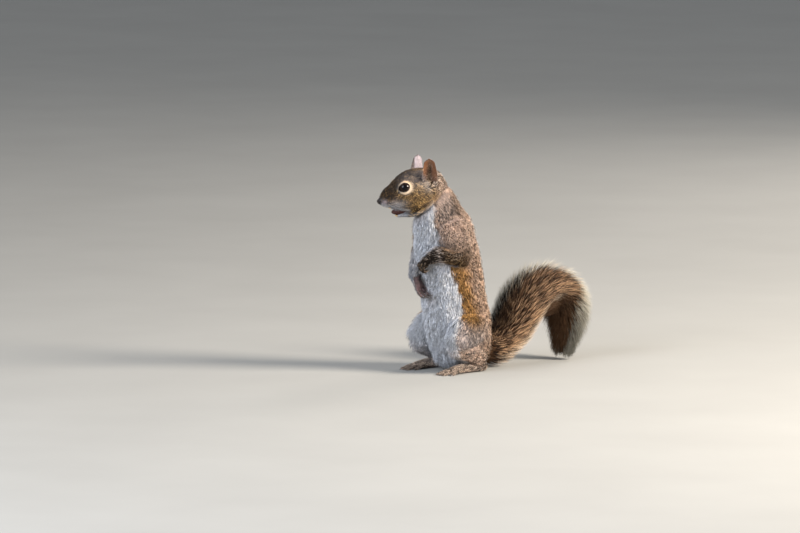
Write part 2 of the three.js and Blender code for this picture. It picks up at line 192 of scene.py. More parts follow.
arms = {
    "left": {
        "upper": [(18, -13, 146, 12.5, 15), (26, -13, 133, 12, 15), (32.5, -10.5, 120, 9.5, 11)],
        "fore": [(32.5, -11.5, 118.5, 10, 10), (22, -29, 120, 8.2, 8.6), (14, -41, 114.6, 5, 5)],
        "wrist": (13.4, -42, 113.6),
        "way": (-0.45, -0.45, -0.77),
        "palmar": (-0.1, 0.85, -0.5),
        "reach": 6,
        "bend": 68,
        "fingers": (4, 3.2),
        "palm": 5.9,
        "paleFrom": (0.2, 0.55),
        "pale": 0.75,
        "fan": 9,
        "paleBack": 0,
    },
    "right": {
        "upper": [(-18, -13, 146, 12.5, 15), (-25.5, -12, 133, 10.5, 12.5), (-30.5, -10, 121, 8.5, 9.5)],
        "fore": [(-30.5, -11, 120, 9, 9), (-20.5, -24.5, 113, 6.8, 6.8), (-9.2, -40, 100, 4.3, 4.3)],
        "wrist": (-9, -40.6, 99),
        "way": (0.34, 0.32, -0.88),
        "palmar": (0.85, 0.1, 0.2),
        "reach": 14.5,
        "bend": 20,
        "fingers": (6.4, 5.4),
        "palm": 6.4,
        "paleFrom": (-0.6, 0.0),
        "pale": 0.55,
        "fan": 7,
        "paleBack": 0.7,
    },
}
legs = {
    "starts": {"thigh": (0.45, 0.8), "shank": (0.8, 0.8), "foot": (0.8, 0.8)},
    "thigh": [(16.5, 10.5, 51, 18.5, 21), (25.5, 0, 44, 16.5, 19), (30.5, -13, 34, 13, 14)],
    "shank": [(30, -15, 27, 10.5, 10.5), (28, 2, 19, 9.5, 10.5), (27, 17, 11.5, 7, 9)],
    "foot": [(26, 21, 5.2, 5.6, 6.2), (26.5, 7, 5, 5.8, 6), (28, -10, 4.2, 7, 5), (29, -19, 3.2, 7.8, 4.2)],
}
toes = {"across": 29, "reach": -20, "spread": 3.3, "fan": 7, "lengths": (7.6, 7), "bend": 8, "claw": 4}
brush = [
    (0, 33, 15, 23, 14),
    (0, 55, 15, 26, 15.5),
    (0, 76, 33, 33, 16),
    (0, 89, 56, 38, 16.5),
    (0, 104, 75, 39, 18),
    (0, 124, 82, 39, 20),
    (0, 142, 74, 38, 18),
    (0, 150, 55, 37, 17),
    (0, 152, 36, 31, 15),
    (0, 149, 20, 22, 12),
    (0, 146, 9, 15, 9),
]
lateral, upright = (1, 0, 0), (0, 0, 1)


def mirrored(stations):
    return [(-s[0], *s[1:]) for s in stations]


def pathOf(stations, side, spacing=0.8):
    # cubic Hermite spans through the stations, each slope a finite difference over the way walked;
    # up = along × side and across = up × along
    given = np.array([tuple(s) + (0,) * (6 - len(s)) for s in stations], float)
    steps = np.linalg.norm(np.diff(given[:, :3], axis=0), axis=1)
    walked = np.concatenate([[0], np.cumsum(steps)])
    slopes = np.gradient(given, walked, axis=0)
    fine = np.linspace(0, walked[-1], max(4, int(walked[-1] / spacing) + 1))
    span = np.clip(np.searchsorted(walked, fine, side="right") - 1, 0, len(steps) - 1)
    reach = steps[span][:, None]
    u = (fine - walked[span])[:, None] / reach
    values = (
        (2 * u**3 - 3 * u**2 + 1) * given[span]
        + (u**3 - 2 * u**2 + u) * reach * slopes[span]
        + (3 * u**2 - 2 * u**3) * given[span + 1]
        + (u**3 - u**2) * reach * slopes[span + 1]
    )
    along = unit(np.gradient(values[:, :3], fine, axis=0))
    rise = unit(np.cross(along, side))
    return {
        "centre": values[:, :3],
        "along": along,
        "up": rise,
        "across": np.cross(rise, along),
        "wide": values[:, 3],
        "deep": values[:, 4],
        "taper": values[:, 5],
        "walked": fine,
    }


def gridSolid(rings, poles):
    # quads between neighbouring rings and a fan to a pole at each end, turned to face outwards
    rows, sides = rings.shape[:2]
    points = np.concatenate([rings.reshape(-1, 3), np.asarray(poles)])
    first = np.arange(rows - 1)[:, None] * sides + np.arange(sides)
    second = np.arange(rows - 1)[:, None] * sides + (np.arange(sides) + 1) % sides
    quads = np.stack([first, second, second + sides, first + sides], -1).reshape(-1, 4)
    here, there = np.arange(sides), (np.arange(sides) + 1) % sides
    foot = np.stack([np.full(sides, rows * sides), there, here], 1)
    top = (rows - 1) * sides
    tip = np.stack([np.full(sides, rows * sides + 1), here + top, there + top], 1)
    triangles = np.concatenate([quads[:, [0, 1, 2]], quads[:, [0, 2, 3]], foot, tip])
    a, b, c = (points[triangles[:, i]] for i in range(3))
    if np.einsum("ij,ij->", a, np.cross(b, c)) < 0:
        triangles = triangles[:, ::-1]
    return points, triangles


def loftSolid(path, grow=0.0, sides=36, roundness=(0.8, 0.8), capRings=6):
    # ring = centre + across·wide·cos·(1 − taper·sin) + up·deep·sin; the ends close by a cosine
    turn = np.linspace(0, 2 * np.pi, sides, endpoint=False)
    wide, deep = path["wide"] + grow, path["deep"] + grow
    last = len(wide) - 1
    bend = np.arange(1, capRings + 1) / (capRings + 1) * np.pi / 2
    capStart = min(path["wide"][0], path["deep"][0]) * roundness[0] + grow
    capEnd = min(path["wide"][-1], path["deep"][-1]) * roundness[1] + grow
    at = np.concatenate([np.zeros(capRings, int), np.arange(last + 1), np.full(capRings, last)])
    shrink = np.concatenate([np.cos(bend[::-1]), np.ones(last + 1), np.cos(bend)])
    slide = np.concatenate([-np.sin(bend[::-1]) * capStart, np.zeros(last + 1), np.sin(bend) * capEnd])
    centre = path["centre"][at] + path["along"][at] * slide[:, None]
    narrowing = np.cos(turn) * (1 - path["taper"][at][:, None] * np.sin(turn))
    outwards = path["across"][at][:, None] * ((wide[at] * shrink)[:, None] * narrowing)[..., None]
    backwards = path["up"][at][:, None] * ((deep[at] * shrink)[:, None] * np.sin(turn))[..., None]
    rings = centre[:, None] + outwards + backwards
    poles = [
        path["centre"][0] - path["along"][0] * capStart,
        path["centre"][-1] + path["along"][-1] * capEnd,
    ]
    return gridSolid(rings, poles)


def joinSolids(solids):
    points, triangles, offset = [], [], 0
    for p, t in solids:
        points.append(p)
        triangles.append(t + offset)
        offset += len(p)
    return np.concatenate(points), np.concatenate(triangles)


def makePiece(name, points, triangles, smooth=True):
    mesh = bpy.data.meshes.new(name)
    mesh.vertices.add(len(points))
    mesh.vertices.foreach_set("co", (points * mm + shift).astype(np.float32).ravel())
    mesh.loops.add(triangles.size)
    mesh.loops.foreach_set("vertex_index", triangles.astype(np.int32).ravel())
    mesh.polygons.add(len(triangles))
    mesh.polygons.foreach_set("loop_start", np.arange(0, triangles.size, 3, dtype=np.int32))
    mesh.polygons.foreach_set("use_smooth", np.full(len(triangles), smooth))
    mesh.update(calc_edges=True)
    piece = bpy.data.objects.new(name, mesh)
    bpy.context.scene.collection.objects.link(piece)
    return piece


def meshArrays(mesh):
    points = np.zeros(len(mesh.vertices) * 3, np.float32)
    mesh.vertices.foreach_get("co", points)
    mesh.calc_loop_triangles()
    triangles = np.zeros(len(mesh.loop_triangles) * 3, np.int32)
    mesh.loop_triangles.foreach_get("vertices", triangles)
    return (points.reshape(-1, 3).astype(float) - shift) / mm, triangles.reshape(-1, 3)


def modified(name, points, triangles, kind, **settings):
    # the shape after one modifier, as arrays again
    piece = makePiece(name, points, triangles)
    modifier = piece.modifiers.new(kind, kind)
    for key, value in settings.items():
        setattr(modifier, key, value)
    made = piece.evaluated_get(bpy.context.evaluated_depsgraph_get())
    result = meshArrays(made.to_mesh())
    made.to_mesh_clear()
    bpy.data.objects.remove(piece)
    return result


def normalsOf(points, triangles):
    # each vertex's normal is the sum of its faces' area normals
    a, b, c = (points[triangles[:, i]] for i in range(3))
    face = np.cross(b - a, c - a)
    total = np.zeros_like(points)
    for axis in range(3):
        for corner in range(3):
            total[:, axis] += np.bincount(triangles[:, corner], face[:, axis], len(points))
    return unit(total)


def relax(points, triangles, strength, rounds):
    # each vertex moves by its strength towards the mean of its neighbours
    pairs = np.concatenate([triangles[:, [0, 1]], triangles[:, [1, 2]], triangles[:, [2, 0]]])
    count = np.bincount(pairs.ravel(), minlength=len(points))
    for _ in range(rounds):
        mean = np.zeros_like(points)
        for axis in range(3):
            mean[:, axis] = np.bincount(pairs[:, 0], points[pairs[:, 1], axis], len(points))
            mean[:, axis] += np.bincount(pairs[:, 1], points[pairs[:, 0], axis], len(points))
        points = points + strength[:, None] * (mean / count[:, None] - points)
    return points


# Digits: bones turn about a hinge across the palm, and each ends in a hooked claw.
claws = {"radius": 0.95, "hook": 25}


def turnedBy(vector, axis, angle):
    # Rodrigues: v·cos + (axis × v)·sin + axis·(axis·v)·(1 − cos)
    a = math.radians(angle)
    turned = vector * math.cos(a) + np.cross(axis, vector) * math.sin(a)
    return turned + axis * (axis @ vector) * (1 - math.cos(a))


def digit(base, way, palmar, lengths, bend, radius, claw):
    # returns the stations of the finger, those of its claw, and the hinge that both share
    hinge = unit(np.cross(way, palmar))
    at = np.array(base, float)
    bones = [(*at, radius, radius)]
    for i, length in enumerate(lengths):
        onward = turnedBy(way, hinge, bend * (i + 0.5))
        knuckle = radius * (1 - 0.07 * (i + 1))
        bones.append((*(at + onward * length * 0.5), knuckle * 0.86, knuckle * 0.88))
        at = at + onward * length
        bones.append((*at, knuckle, knuckle * (1.04 if i else 1)))
    start = at + onward * radius * 0.35
    hook = [(*start, claws["radius"] * 0.8, claws["radius"])]
    for i, share in enumerate((0.5, 0.5)):
        onward = turnedBy(way, hinge, bend * len(lengths) + claws["hook"] * (i + 0.4))
        start = start + onward * (claw * share + (0 if i else radius * 0.35))
        hook.append((*start, claws["radius"] * (0.6 - 0.42 * i), claws["radius"] * (0.75 - 0.52 * i)))
    return bones, hook, hinge


forms = {}
clawPaths = []


def addForm(name, kind, stations, side, flow=1, roundness=(0.8, 0.8), spacing=1.5):
    # flow is 1 where the coat runs with the stations and -1 where it runs against them
    forms[name] = {
        "kind": kind,
        "fine": pathOf(stations, side, 0.8),
        "path": pathOf(stations, side, spacing),
        "flow": flow,
        "roundness": roundness,
    }


def addDigit(name, kind, *shape):
    bones, hook, hinge = digit(*shape)
    addForm(name, kind, bones, hinge, spacing=0.8)
    clawPaths.append(pathOf(hook, hinge, 0.3))


def addHand(side):
    arm = arms[side]
    along = unit(np.array(arm["way"], float))
    palmar = np.array(arm["palmar"], float)
    inward = unit(palmar - along * (palmar @ along))
    across = np.cross(along, inward)
    wrist, reach = np.array(arm["wrist"], float), arm["reach"]

    def spot(far, out, deep):
        return wrist + along * far + across * out + inward * deep

    palm = [
        (*spot(0, 0, 0), 4.4, 3.8),
        (*spot(reach * 0.3, 0, 0.8), 5.1, 4.3),
        (*spot(reach, 0, 0.3), arm["palm"], 3),
    ]
    addForm(f"palm_{side}", "palm", palm, across)
    for i in range(4):
        out = i - 1.5
        fan = turnedBy(along, inward, -out * arm["fan"])
        lengths = [length * (1 if abs(out) < 1 else 0.88) for length in arm["fingers"]]
        shape = (spot(reach, out * arm["palm"] * 0.51, 0), fan, inward, lengths, arm["bend"], 2.0, 3.6)
        addDigit(f"finger_{side}_{i}", "finger", *shape)
    thumb = [(*spot(2.5, -4, 1.4), 1.7, 1.7), (*spot(5.2, -5.6, 2.6), 1.4, 1.4)]
    addForm(f"thumb_{side}", "finger", thumb, inward, spacing=0.8)
    arm["inward"] = inward


def addLeg(side):
    sign = 1 if side == "left" else -1
    for kind in ("thigh", "shank", "foot"):
        stations = legs[kind] if sign > 0 else mirrored(legs[kind])
        addForm(f"{kind}_{side}", kind, stations, lateral, roundness=legs["starts"][kind])
    for i in range(5):
        out = i - 2
        outer = abs(out) == 2
        way = turnedBy(np.array([0, -1, -0.06]), np.array([0, 0, 1.0]), out * toes["fan"])
        across, reach = toes["across"] + out * toes["spread"], toes["reach"] + (4.5 if outer else 0)
        base = (sign * across, reach, 3.4)
        way = unit(way * [sign, 1, 1])
        lengths = [length * (0.82 if outer else 1) for length in toes["lengths"]]
        shape = (base, way, np.array([0, 0, -1.0]), lengths, toes["bend"], 2.3, toes["claw"])
        addDigit(f"toe_{side}_{i}", "toe", *shape)


tailCore = {"start": 4.6, "end": 2.2, "stop": 0.955}


def addTail():
    # the tail's own flesh: a thin tapering core along the middle of the brush
    path = pathOf(brush, lateral, 2)
    keep = path["walked"] <= path["walked"][-1] * tailCore["stop"]
    share = path["walked"][keep] / path["walked"][-1]
    radius = tailCore["start"] + (tailCore["end"] - tailCore["start"]) * share
    centre = path["centre"][keep]
    addForm("tail", "tail", [(*c, r, r) for c, r in zip(centre[::4], radius[::4])], lateral)


addForm("skull", "skull", skull, leftward, flow=-1, roundness=(0.35, 0.6))
addForm("jaw", "jaw", jawline, leftward, flow=-1)
addForm("nose", "nose", nosePad, leftward, flow=-1, roundness=(0.5, 0.5))
addForm("spine", "spine", spine, lateral, flow=-1, roundness=(0.8, 0.3))
for side in ("left", "right"):
    addForm(f"upper_{side}", "upperArm", arms[side]["upper"], lateral)
    addForm(f"fore_{side}", "forearm", arms[side]["fore"], upright)
    addHand(side)
    addLeg(side)
addTail()

# Ears: a cupped leaf of crescent rows, thickest in the middle and filled in at its foot.
ear = {
    "foot": (12.6, 19.4, -0.8),
    "tip": {1: (5.6, 21.2, 26.2), -1: (0.8, 19.6, 24.4)},
    "facing": {1: (0.36, 0.93, 0.05), -1: (0.3, 0.95, 0.05)},
    "halfWidths": (6.4, 7.5, 7.7, 6.9, 5.9, 5.0),
    "cup": (2.6, 3.8, 4.0, 3.2, 2.0, 0.8),
    "thickness": 1.5,
    "wrap": 75,
    "filled": 0.16,
    "inset": 0.2,
}


def earFrame(side):
    mirror = np.array([1, side, 1])
    foot, tip = onHead(ear["foot"] * mirror), onHead(ear["tip"][side] * mirror)
    height = np.linalg.norm(tip - foot)
    rise = (tip - foot) / height
    facing = (ear["facing"][side] * mirror) @ headAxes
    facing = unit(facing - rise * (facing @ rise))
    return foot, rise, height, facing, np.cross(rise, facing)


def earSolid(side, rows=44, half=25):
    # row(t): centre + across·w·sin(turn)/sin(wrap) − facing·cup·bend; the inner sheet is one wall in
    foot, rise, height, facing, across = earFrame(side)
    wrap, grow = math.radians(ear["wrap"]), -ear["inset"]
    knots = np.linspace(0, 1, len(ear["halfWidths"]))
    fine = np.linspace(0, 1, rows + 1)
    ts = np.concatenate([[0], fine, [1]])
    shrink = np.concatenate([[0.7], np.ones(rows + 1), [0.5]])[:, None]
    lift = np.concatenate([[-2.5], np.zeros(rows + 1), [height * 0.02]])
    wide, cup = (np.polyval(np.polyfit(knots, ear[key], 5), ts)[:, None] for key in ("halfWidths", "cup"))
    # a round tip: the last fifth closes like the end of an ellipse
    wide = wide * np.sqrt(np.clip(1 - ((ts[:, None] - 0.82) / 0.187).clip(0) ** 2, 0.03, 1))
    fill = np.maximum(0, 1 - ts / ear["filled"])[:, None]
    share = np.linspace(-1, 1, half)[None]
    turn = share * wrap
    bend = (np.cos(turn) - math.cos(wrap)) / (1 - math.cos(wrap))
    wall = ear["thickness"] * (0.62 + 0.38 * np.cos(share * np.pi / 2)) + fill * cup * bend
    centre = foot + rise * (height * 0.94 * ts + lift)[:, None]
    sheets = []
    for inner in (0, 1):
        out = -cup * bend - grow + inner * (wall + 2 * grow)
        sideways = (wide + grow) * shrink * np.sin(turn) / math.sin(wrap)
        sheet = centre[:, None] + across * sideways[..., None] + facing * (out * shrink)[..., None]
        sheets.append(sheet if not inner else sheet[:, ::-1])
    rings = np.concatenate(sheets, 1)
    poles = [rings[0].mean(0) - rise, rings[-1].mean(0) + 0.15 * rise]
    return gridSolid(rings, poles)


for side, name in ((1, "ear_left"), (-1, "ear_right")):
    foot, rise, height, facing, across = earFrame(side)
    bow = [onHead(np.array(ear["foot"]) * [1, side, 1]) + rise * height * t for t in (0, 0.35, 0.7, 1)]
    rows = [(*at - facing * cup, w, 1.6) for at, w, cup in zip(bow, (5, 7.6, 7, 3.4), (2.4, 3, 2, 0.6))]
    addForm(name, "ear", rows, across, spacing=1)


tonguePath = pathOf(tongue, leftward)


def fleshSolids():
    # every form but the ears, drawn in by the depth of the coat over it, and the tongue
    solids = []
    for form in forms.values():
        if form["kind"] == "ear":
            continue
        depth = coats[form["kind"]]["depth"]
        solids.append(loftSolid(form["fine"], -depth, roundness=form["roundness"]))
    solids.append(loftSolid(tonguePath))
    return joinSolids(solids)


formNames = list(forms)
fineKinds = ("ear", "finger", "toe", "palm", "nose", "tail")


def readField(points):
    # every form's nearest place to each point; its say falls off as exp(−distance/2.5)
    count = len(points)
    total = np.zeros(count)
    flow = np.zeros((count, 3))
    values = {key: np.zeros(count) for key in ("depth", "length", "width", "density")}
    shares = {}
    best = np.full(count, np.inf)
    field = {"form": np.zeros(count, int), "turn": np.zeros(count), "walk": np.zeros(count)}
    flat = points.astype(np.float32)
    for number, name in enumerate(formNames):
        form = forms[name]
        path = form["path"]
        centre = path["centre"].astype(np.float32)
        near = np.zeros(count, int)
        for start in range(0, count, 20000):
            part = flat[start:start + 20000]
            near[start:start + 20000] = np.argmin((centre**2).sum(1) - 2 * part @ centre.T, axis=1)
        off = points - path["centre"][near]
        x, y, z = (np.einsum("ij,ij->i", off, path[key][near]) for key in ("across", "up", "along"))
        depth = coats[form["kind"]]["depth"]
        wide, deep = path["wide"][near] - depth, path["deep"][near] - depth
        ring = np.sqrt((x / wide) ** 2 + (y / deep) ** 2)
        beside = np.maximum(ring - 1, 0) * np.minimum(wide, deep)
        gap = np.hypot(beside, np.maximum(np.abs(z) - 2, 0))
        say = np.exp(-np.minimum(gap, 40) / 2.5) + 1e-9
        total += say
        flow += form["flow"] * path["along"][near] * say[:, None]
        for key in values:
            values[key] += coats[form["kind"]][key] * say
        shares[name] = say
        closer = gap < best
        best[closer] = gap[closer]
        field["form"][closer] = number
        field["turn"][closer] = (np.arctan2(y / deep, x / wide) / (2 * np.pi) % 1)[closer]
        field["walk"][closer] = (path["walked"][near] / path["walked"][-1])[closer]
        if name == "spine":
            field["front"] = np.degrees(np.abs(np.arctan2(x, -y)))
    field.update({key: value / total for key, value in values.items()})
    field["flow"] = flow / total[:, None]
    kinds = {form["kind"] for form in forms.values()}
    field["kind"] = {k: sum(s for n, s in shares.items() if forms[n]["kind"] == k) / total for k in kinds}
    field["share"] = {name: say / total for name, say in shares.items()}
    return field


# Eyes: balls a little larger than their openings, seen between two lids.
eyes = {
    "at": (35.8, 10.9, 4.7),
    "radius": 6.3,
    "sunk": 0.6,
    "half": (5.6, 4.3),
    "corner": 0.6,
    "looks": (0.3, 0.93, 0.2),
    "pinch": 1.85,
}


def eyeFrame(side):
    # out of the head, along the slit towards the nose, and up across it
    mirror = np.array([1, side, 1])
    out = unit((eyes["looks"] * mirror) @ headAxes)
    slit = unit(forward - out * (forward @ out))
    over = np.cross(slit, out) * -side
    over = over if over @ crownward > 0 else -over
    centre = onHead(eyes["at"] * mirror) - out * eyes["sunk"]
    return centre, slit, over, out


def eyeSpread(points, side):
    # q = ((x/a)^p + (y/b)^p)^(1/p), which is 1 on the lids' edge; x runs to the inner corner
    centre, slit, over, out = eyeFrame(side)
    x, y, z = ((points - centre) @ axis for axis in (slit, over, out))
    long = eyes["half"][0] + eyes["corner"] * np.sign(x) * smoothstep(0, 3, np.abs(x))
    p = eyes["pinch"]
    q = (np.abs(x / long) ** p + np.abs(y / eyes["half"][1]) ** p) ** (1 / p)
    return q, x, y, z


def sculptEyes(points):
    # lids stand half a millimetre off the ball next to their edge; inside the edge the skin dives under it
    for side in (1, -1):
        out = eyeFrame(side)[-1]
        q, x, y, z = eyeSpread(points, side)
        near = (z > -3) & (q < 2.6)
        ball = np.sqrt(np.maximum(eyes["radius"] ** 2 - x**2 - y**2, 0))
        lid = np.maximum(z, ball + 0.5)
        raised = z + (lid - z) * smoothstep(2.1, 1.15, q)
        sunk = np.minimum(z, ball - 1.4)
        moved = np.where(q > 1, raised, sunk + (raised - sunk) * smoothstep(0.9, 1.0, q))
        points = points + out * np.where(near, moved - z, 0)[:, None]
    return points


# Bumps on the head: place, reach and height of each, given for the left side and mirrored.
headBumps = [
    ("brow", (36, 12.5, 12.5), (7, 4, 2.5), 0.9),
    ("cheekbone", (30, 18, -3), (8, 5, 5), 0.7),
    ("cheek", (27, 17, -15), (9, 6, 7), 0.9),
    ("whiskerPad", (51.5, 8.5, -6.5), (4.5, 4, 3.6), 1.0),
    ("noseSide", (57.5, 5.5, -1.5), (2.6, 2.5, 2.6), 0.5),
    ("tearHollow", (44.5, 10.5, 3.2), (3.4, 3, 2.2), -0.7),
    ("nostril", (62.6, 3.4, -2.6), (1.1, 1.5, 0.75), -1.9),
    ("nostrilWing", (63.2, 1.9, -1.2), (1.2, 1.2, 1.3), 0.45),
    ("philtrum", (62.3, 0, -6), (3, 0.55, 3.4), -0.7),
    ("lipCorner", (41, 10.5, -18.8), (3.4, 3, 1.3), -0.8),
    ("lowerLip", (46, 5, -20.2), (4, 3.4, 1), 0.35),
]


def sculptHead(points, triangles):
    # height · exp(−Σ((p − place)/reach)²) along the normal, for each bump
    at = inHead(points)
    normals = normalsOf(points, triangles)
    lift = np.zeros(len(points))
    for _, place, reach, height in headBumps:
        for side in (1, -1) if place[1] else (1,):
            off = (at - np.array(place) * [1, side, 1]) / np.array(reach)
            lift += height * np.exp(-(off**2).sum(1))
    return points + normals * lift[:, None]


skinShape = {"voxel": 0.6, "rounds": 34, "triangles": 176000, "floor": 0.05}


def buildSkin():
    points, triangles = fleshSolids()
    points, triangles = modified(
        "flesh", points, triangles, "REMESH", mode="VOXEL", voxel_size=skinShape["voxel"] * mm
    )
    print("flesh joined:", len(triangles), "triangles")
    field = readField(points)
    fine = sum(field["kind"][kind] for kind in fineKinds)
    face = (field["kind"]["skull"] + field["kind"]["jaw"]) * smoothstep(0, 16, inHead(points)[:, 0])
    strength = 0.55 * np.clip(1 - 0.93 * fine - 0.6 * face, 0.04, 1)
    points = relax(points, triangles, strength, skinShape["rounds"])
    points = sculptEyes(sculptHead(points, triangles))
    points[:, 2] = np.maximum(points[:, 2], skinShape["floor"])
    share = skinShape["triangles"] / len(triangles)
    points, triangles = modified("smoothed", points, triangles, "DECIMATE", ratio=min(1, share))
    points, triangles = joinSolids([(points, triangles), earSolid(1), earSolid(-1)])
    print("skin shaped:", len(triangles), "triangles")
    return points, triangles


lids = {"thick": 0.42, "sides": 10, "steps": 96}


def lidRim(side):
    # a thin roll along the lids' edge: the point of the ball above (a·cos, b·sin), just proud of it
    centre, slit, over, out = eyeFrame(side)
    turn = np.linspace(0, 2 * np.pi, lids["steps"], endpoint=False)
    p = 2 / eyes["pinch"]
    cosine = np.sign(np.cos(turn)) * np.abs(np.cos(turn)) ** p
    sine = np.sign(np.sin(turn)) * np.abs(np.sin(turn)) ** p
    x = cosine * (eyes["half"][0] + eyes["corner"] * np.sign(cosine) * smoothstep(0, 3, 5 * np.abs(cosine)))
    y = sine * eyes["half"][1]
    z = np.sqrt(np.maximum(eyes["radius"] ** 2 - x**2 - y**2, 0)) + 0.2
    loop = centre + x[:, None] * slit + y[:, None] * over + z[:, None] * out
    along = unit(np.roll(loop, -1, 0) - np.roll(loop, 1, 0))
    off = unit(loop - centre)
    aside = np.cross(along, off)
    roll = np.linspace(0, 2 * np.pi, lids["sides"], endpoint=False)
    rings = loop[:, None] + lids["thick"] * (
        aside[:, None] * np.cos(roll)[None, :, None] * 1.15 + off[:, None] * np.sin(roll)[None, :, None]
    )
    steps, sides = lids["steps"], lids["sides"]
    a = np.arange(steps)[:, None] * sides
    b = (np.arange(steps)[:, None] + 1) % steps * sides
    i, j = np.arange(sides), (np.arange(sides) + 1) % sides
    quads = np.stack([a + i, a + j, b + j, b + i], -1).reshape(-1, 4)
    triangles = np.concatenate([quads[:, [0, 1, 2]], quads[:, [0, 2, 3]]])
    points = rings.reshape(-1, 3)
    p0, p1, p2 = (points[triangles[:, k]] for k in range(3))
    volume = np.einsum("ij,ij->", p0 - centre, np.cross(p1 - centre, p2 - centre))
    return points, triangles if volume > 0 else triangles[:, ::-1]


# Markings, as masks from 0 to 1 worked out from where a point lies on the body.
whiteEdge = {  # degrees round from the front that the white reaches, at heights up the trunk
    "height": (0, 20, 50, 85, 110, 128, 140, 158, 176, 190),
    "angle": (66, 64, 64, 62, 57, 50, 44, 42, 46, 50),
}


def lipLine(forwards):
    # the height of the upper lip's edge along the muzzle
    return np.interp(forwards, (38, 45, 52, 58, 63), (-20, -16.6, -12.6, -9.6, -7.2))


def trunkMarks(points, field, ragged):
    # white round from the front to a ragged edge, a dark seam, then rust that fades towards the back, with
    # a little rust on the back itself as painted warm light, and painted shade on the nape
    height, front, trunk = points[:, 2], field["front"], field["kind"]["spine"]
    edge = np.interp(height, whiteEdge["height"], whiteEdge["angle"]) + 5.5 * ragged
    past = front - edge
    rust = smoothstep(-2, 5, past) * smoothstep(52, 18, past)
    rust = rust * smoothstep(134, 112, height) * smoothstep(34, 66, height)
    # painted warm light: a little rust on the back, where the light falls
    rust += 0.22 * trunk * smoothstep(140, 105, height) * smoothstep(90, 125, front)
    seam = 0.5 * smoothstep(4.5, 1.5, np.abs(past - 1))
    # painted shade on the nape
    napeShade = 0.3 * smoothstep(150, 166, height)
    return smoothstep(4, -4, past), rust, trunk * np.maximum(seam, napeShade)


def limbWhite(points, normals, share, ragged):
    # the faces of thighs, shanks and arms that look inwards
    white = np.zeros(len(points))
    for side, name in ((1, "left"), (-1, "right")):
        inner = normals @ unit(np.array([-0.6 * side, -0.8, -0.1])) + 0.12 * ragged
        white += share[f"thigh_{name}"] * smoothstep(-0.1, 0.35, inner)
        white += share[f"shank_{name}"] * 0.6 * smoothstep(0.0, 0.4, inner)
        under = normals @ unit(np.array([-0.9 * side, 0.1, -0.35]))
        under = np.maximum(under, normals @ unit(np.array([-0.9 * side, -0.25, 0.1]))) + 0.1 * ragged
        white += share[f"upper_{name}"] * smoothstep(0.25, 0.6, under)
        low, high = arms[name]["paleFrom"]
        white += share[f"fore_{name}"] * arms[name]["pale"] * smoothstep(low, high, under)
    return white


def headMarks(at, face, ragged):
    # dark crown and bridge, and darker hair just before the ear; warm cheek; pale lips, whisker pads and
    # chin
    forwards, height = at[:, 0], at[:, 2]
    crown = smoothstep(3.5, 9.5, height + 0.16 * (forwards - 30) + 1.2 * ragged)
    crown = crown * smoothstep(-9, 2, forwards)
    bridge = smoothstep(44, 50, forwards) * smoothstep(-5.0, -0.5, height + 0.5 * (forwards - 52))
    beforeEar = np.exp(-(((forwards - 17) / 6) ** 2) - ((height - 2) / 6) ** 2)
    cheek = smoothstep(2, 16, forwards) * (1 - 0.5 * smoothstep(44, 52, forwards))
    lips = smoothstep(6.0, 2.0, height - lipLine(forwards) + 0.8 * ragged) * smoothstep(37, 42, forwards)
    chin = smoothstep(-19.5, -25.0, height + 0.8 * ragged) * (0.3 + 0.7 * smoothstep(34, 46, forwards))
    pads = np.exp(-(((forwards - 49) / 6.5) ** 2) - ((height + 9.5) / 4) ** 2)
    noseSide = np.exp(-(((forwards - 59) / 2.4) ** 2) - ((height + 3.6) / 2.6) ** 2)
    return {
        "dark": face * np.maximum(np.maximum(0.8 * crown, bridge), 0.55 * beforeEar),
        "cheek": face * cheek,
        "white": face * np.maximum(np.maximum(0.55 * lips, 0.5 * pads), 0.5 * chin),
        "noseSide": face * noseSide,
    }


def eyeMarks(points, ragged):
    # a cream ring round each eye, and black on its lids
    cream, rim = np.zeros(len(points)), np.zeros(len(points))
    for side in (1, -1):
        q, x, y, z = eyeSpread(points, side)
        close = (z > -1) & (q < 3)
        ring = smoothstep(1.12, 0.92, np.hypot((x + 0.7) / 6.9, (y + 0.5) / 6.3) + 0.05 * ragged)
        cream = np.maximum(cream, ring * close)
        rim = np.maximum(rim, smoothstep(1.13, 1.06, q) * close)
    return cream, rim


def earMarks(points, normals, share):
    # warm inside darkened by painted shade, pale behind, painted shade along the front edge, and a pale rim
    # along the back edge
    inside, pale, dark, paleRim = (np.zeros(len(points)) for _ in range(4))
    for side, name in ((1, "left"), (-1, "right")):
        foot, rise, tall, facing, across = earFrame(side)
        off = points - foot
        up01 = off @ rise / tall
        part = share[f"ear_{name}"] * smoothstep(0.02, 0.14, up01)
        frontness = off @ unit(forward - rise * (forward @ rise))
        look = normals @ facing
        wide = np.maximum(np.interp(up01, np.linspace(0, 1, 6), ear["halfWidths"]), 1)
        out01 = off @ across / wide
        rimmed = part * smoothstep(0.8, 0.97, np.maximum(np.abs(out01), up01 * 0.97))
        rimmed = rimmed * smoothstep(0.02, 0.15, up01)
        # painted shade along the front edge and where the fold turns away
        foldShade = part * smoothstep(3.5, 5.0, frontness) * smoothstep(0.2, -0.1, look)
        frontEdgeShade = np.maximum(rimmed * smoothstep(-0.5, 1.5, frontness), foldShade)
        # painted shade in the hollow inside, darkest running down and forward to the notch
        ahead = out01 * np.sign(across @ forward)
        hollowShade = smoothstep(0.5, 0.1, np.abs(ahead - 0.25 + 0.5 * up01))
        hollowShade = hollowShade * smoothstep(0.98, 0.6, up01) * smoothstep(-0.05, 0.25, look) * part
        inside += part * smoothstep(-0.05, 0.25, look) * (1 - 0.8 * np.maximum(hollowShade, frontEdgeShade))
        pale += part * smoothstep(0.1, -0.2, look) * (1 - 0.8 * frontEdgeShade)
        dark = np.maximum(dark, np.maximum(hollowShade, 0.9 * frontEdgeShade))
        paleRim = np.maximum(paleRim, rimmed * smoothstep(0.5, -1.5, frontness))
    return inside, pale, dark, paleRim


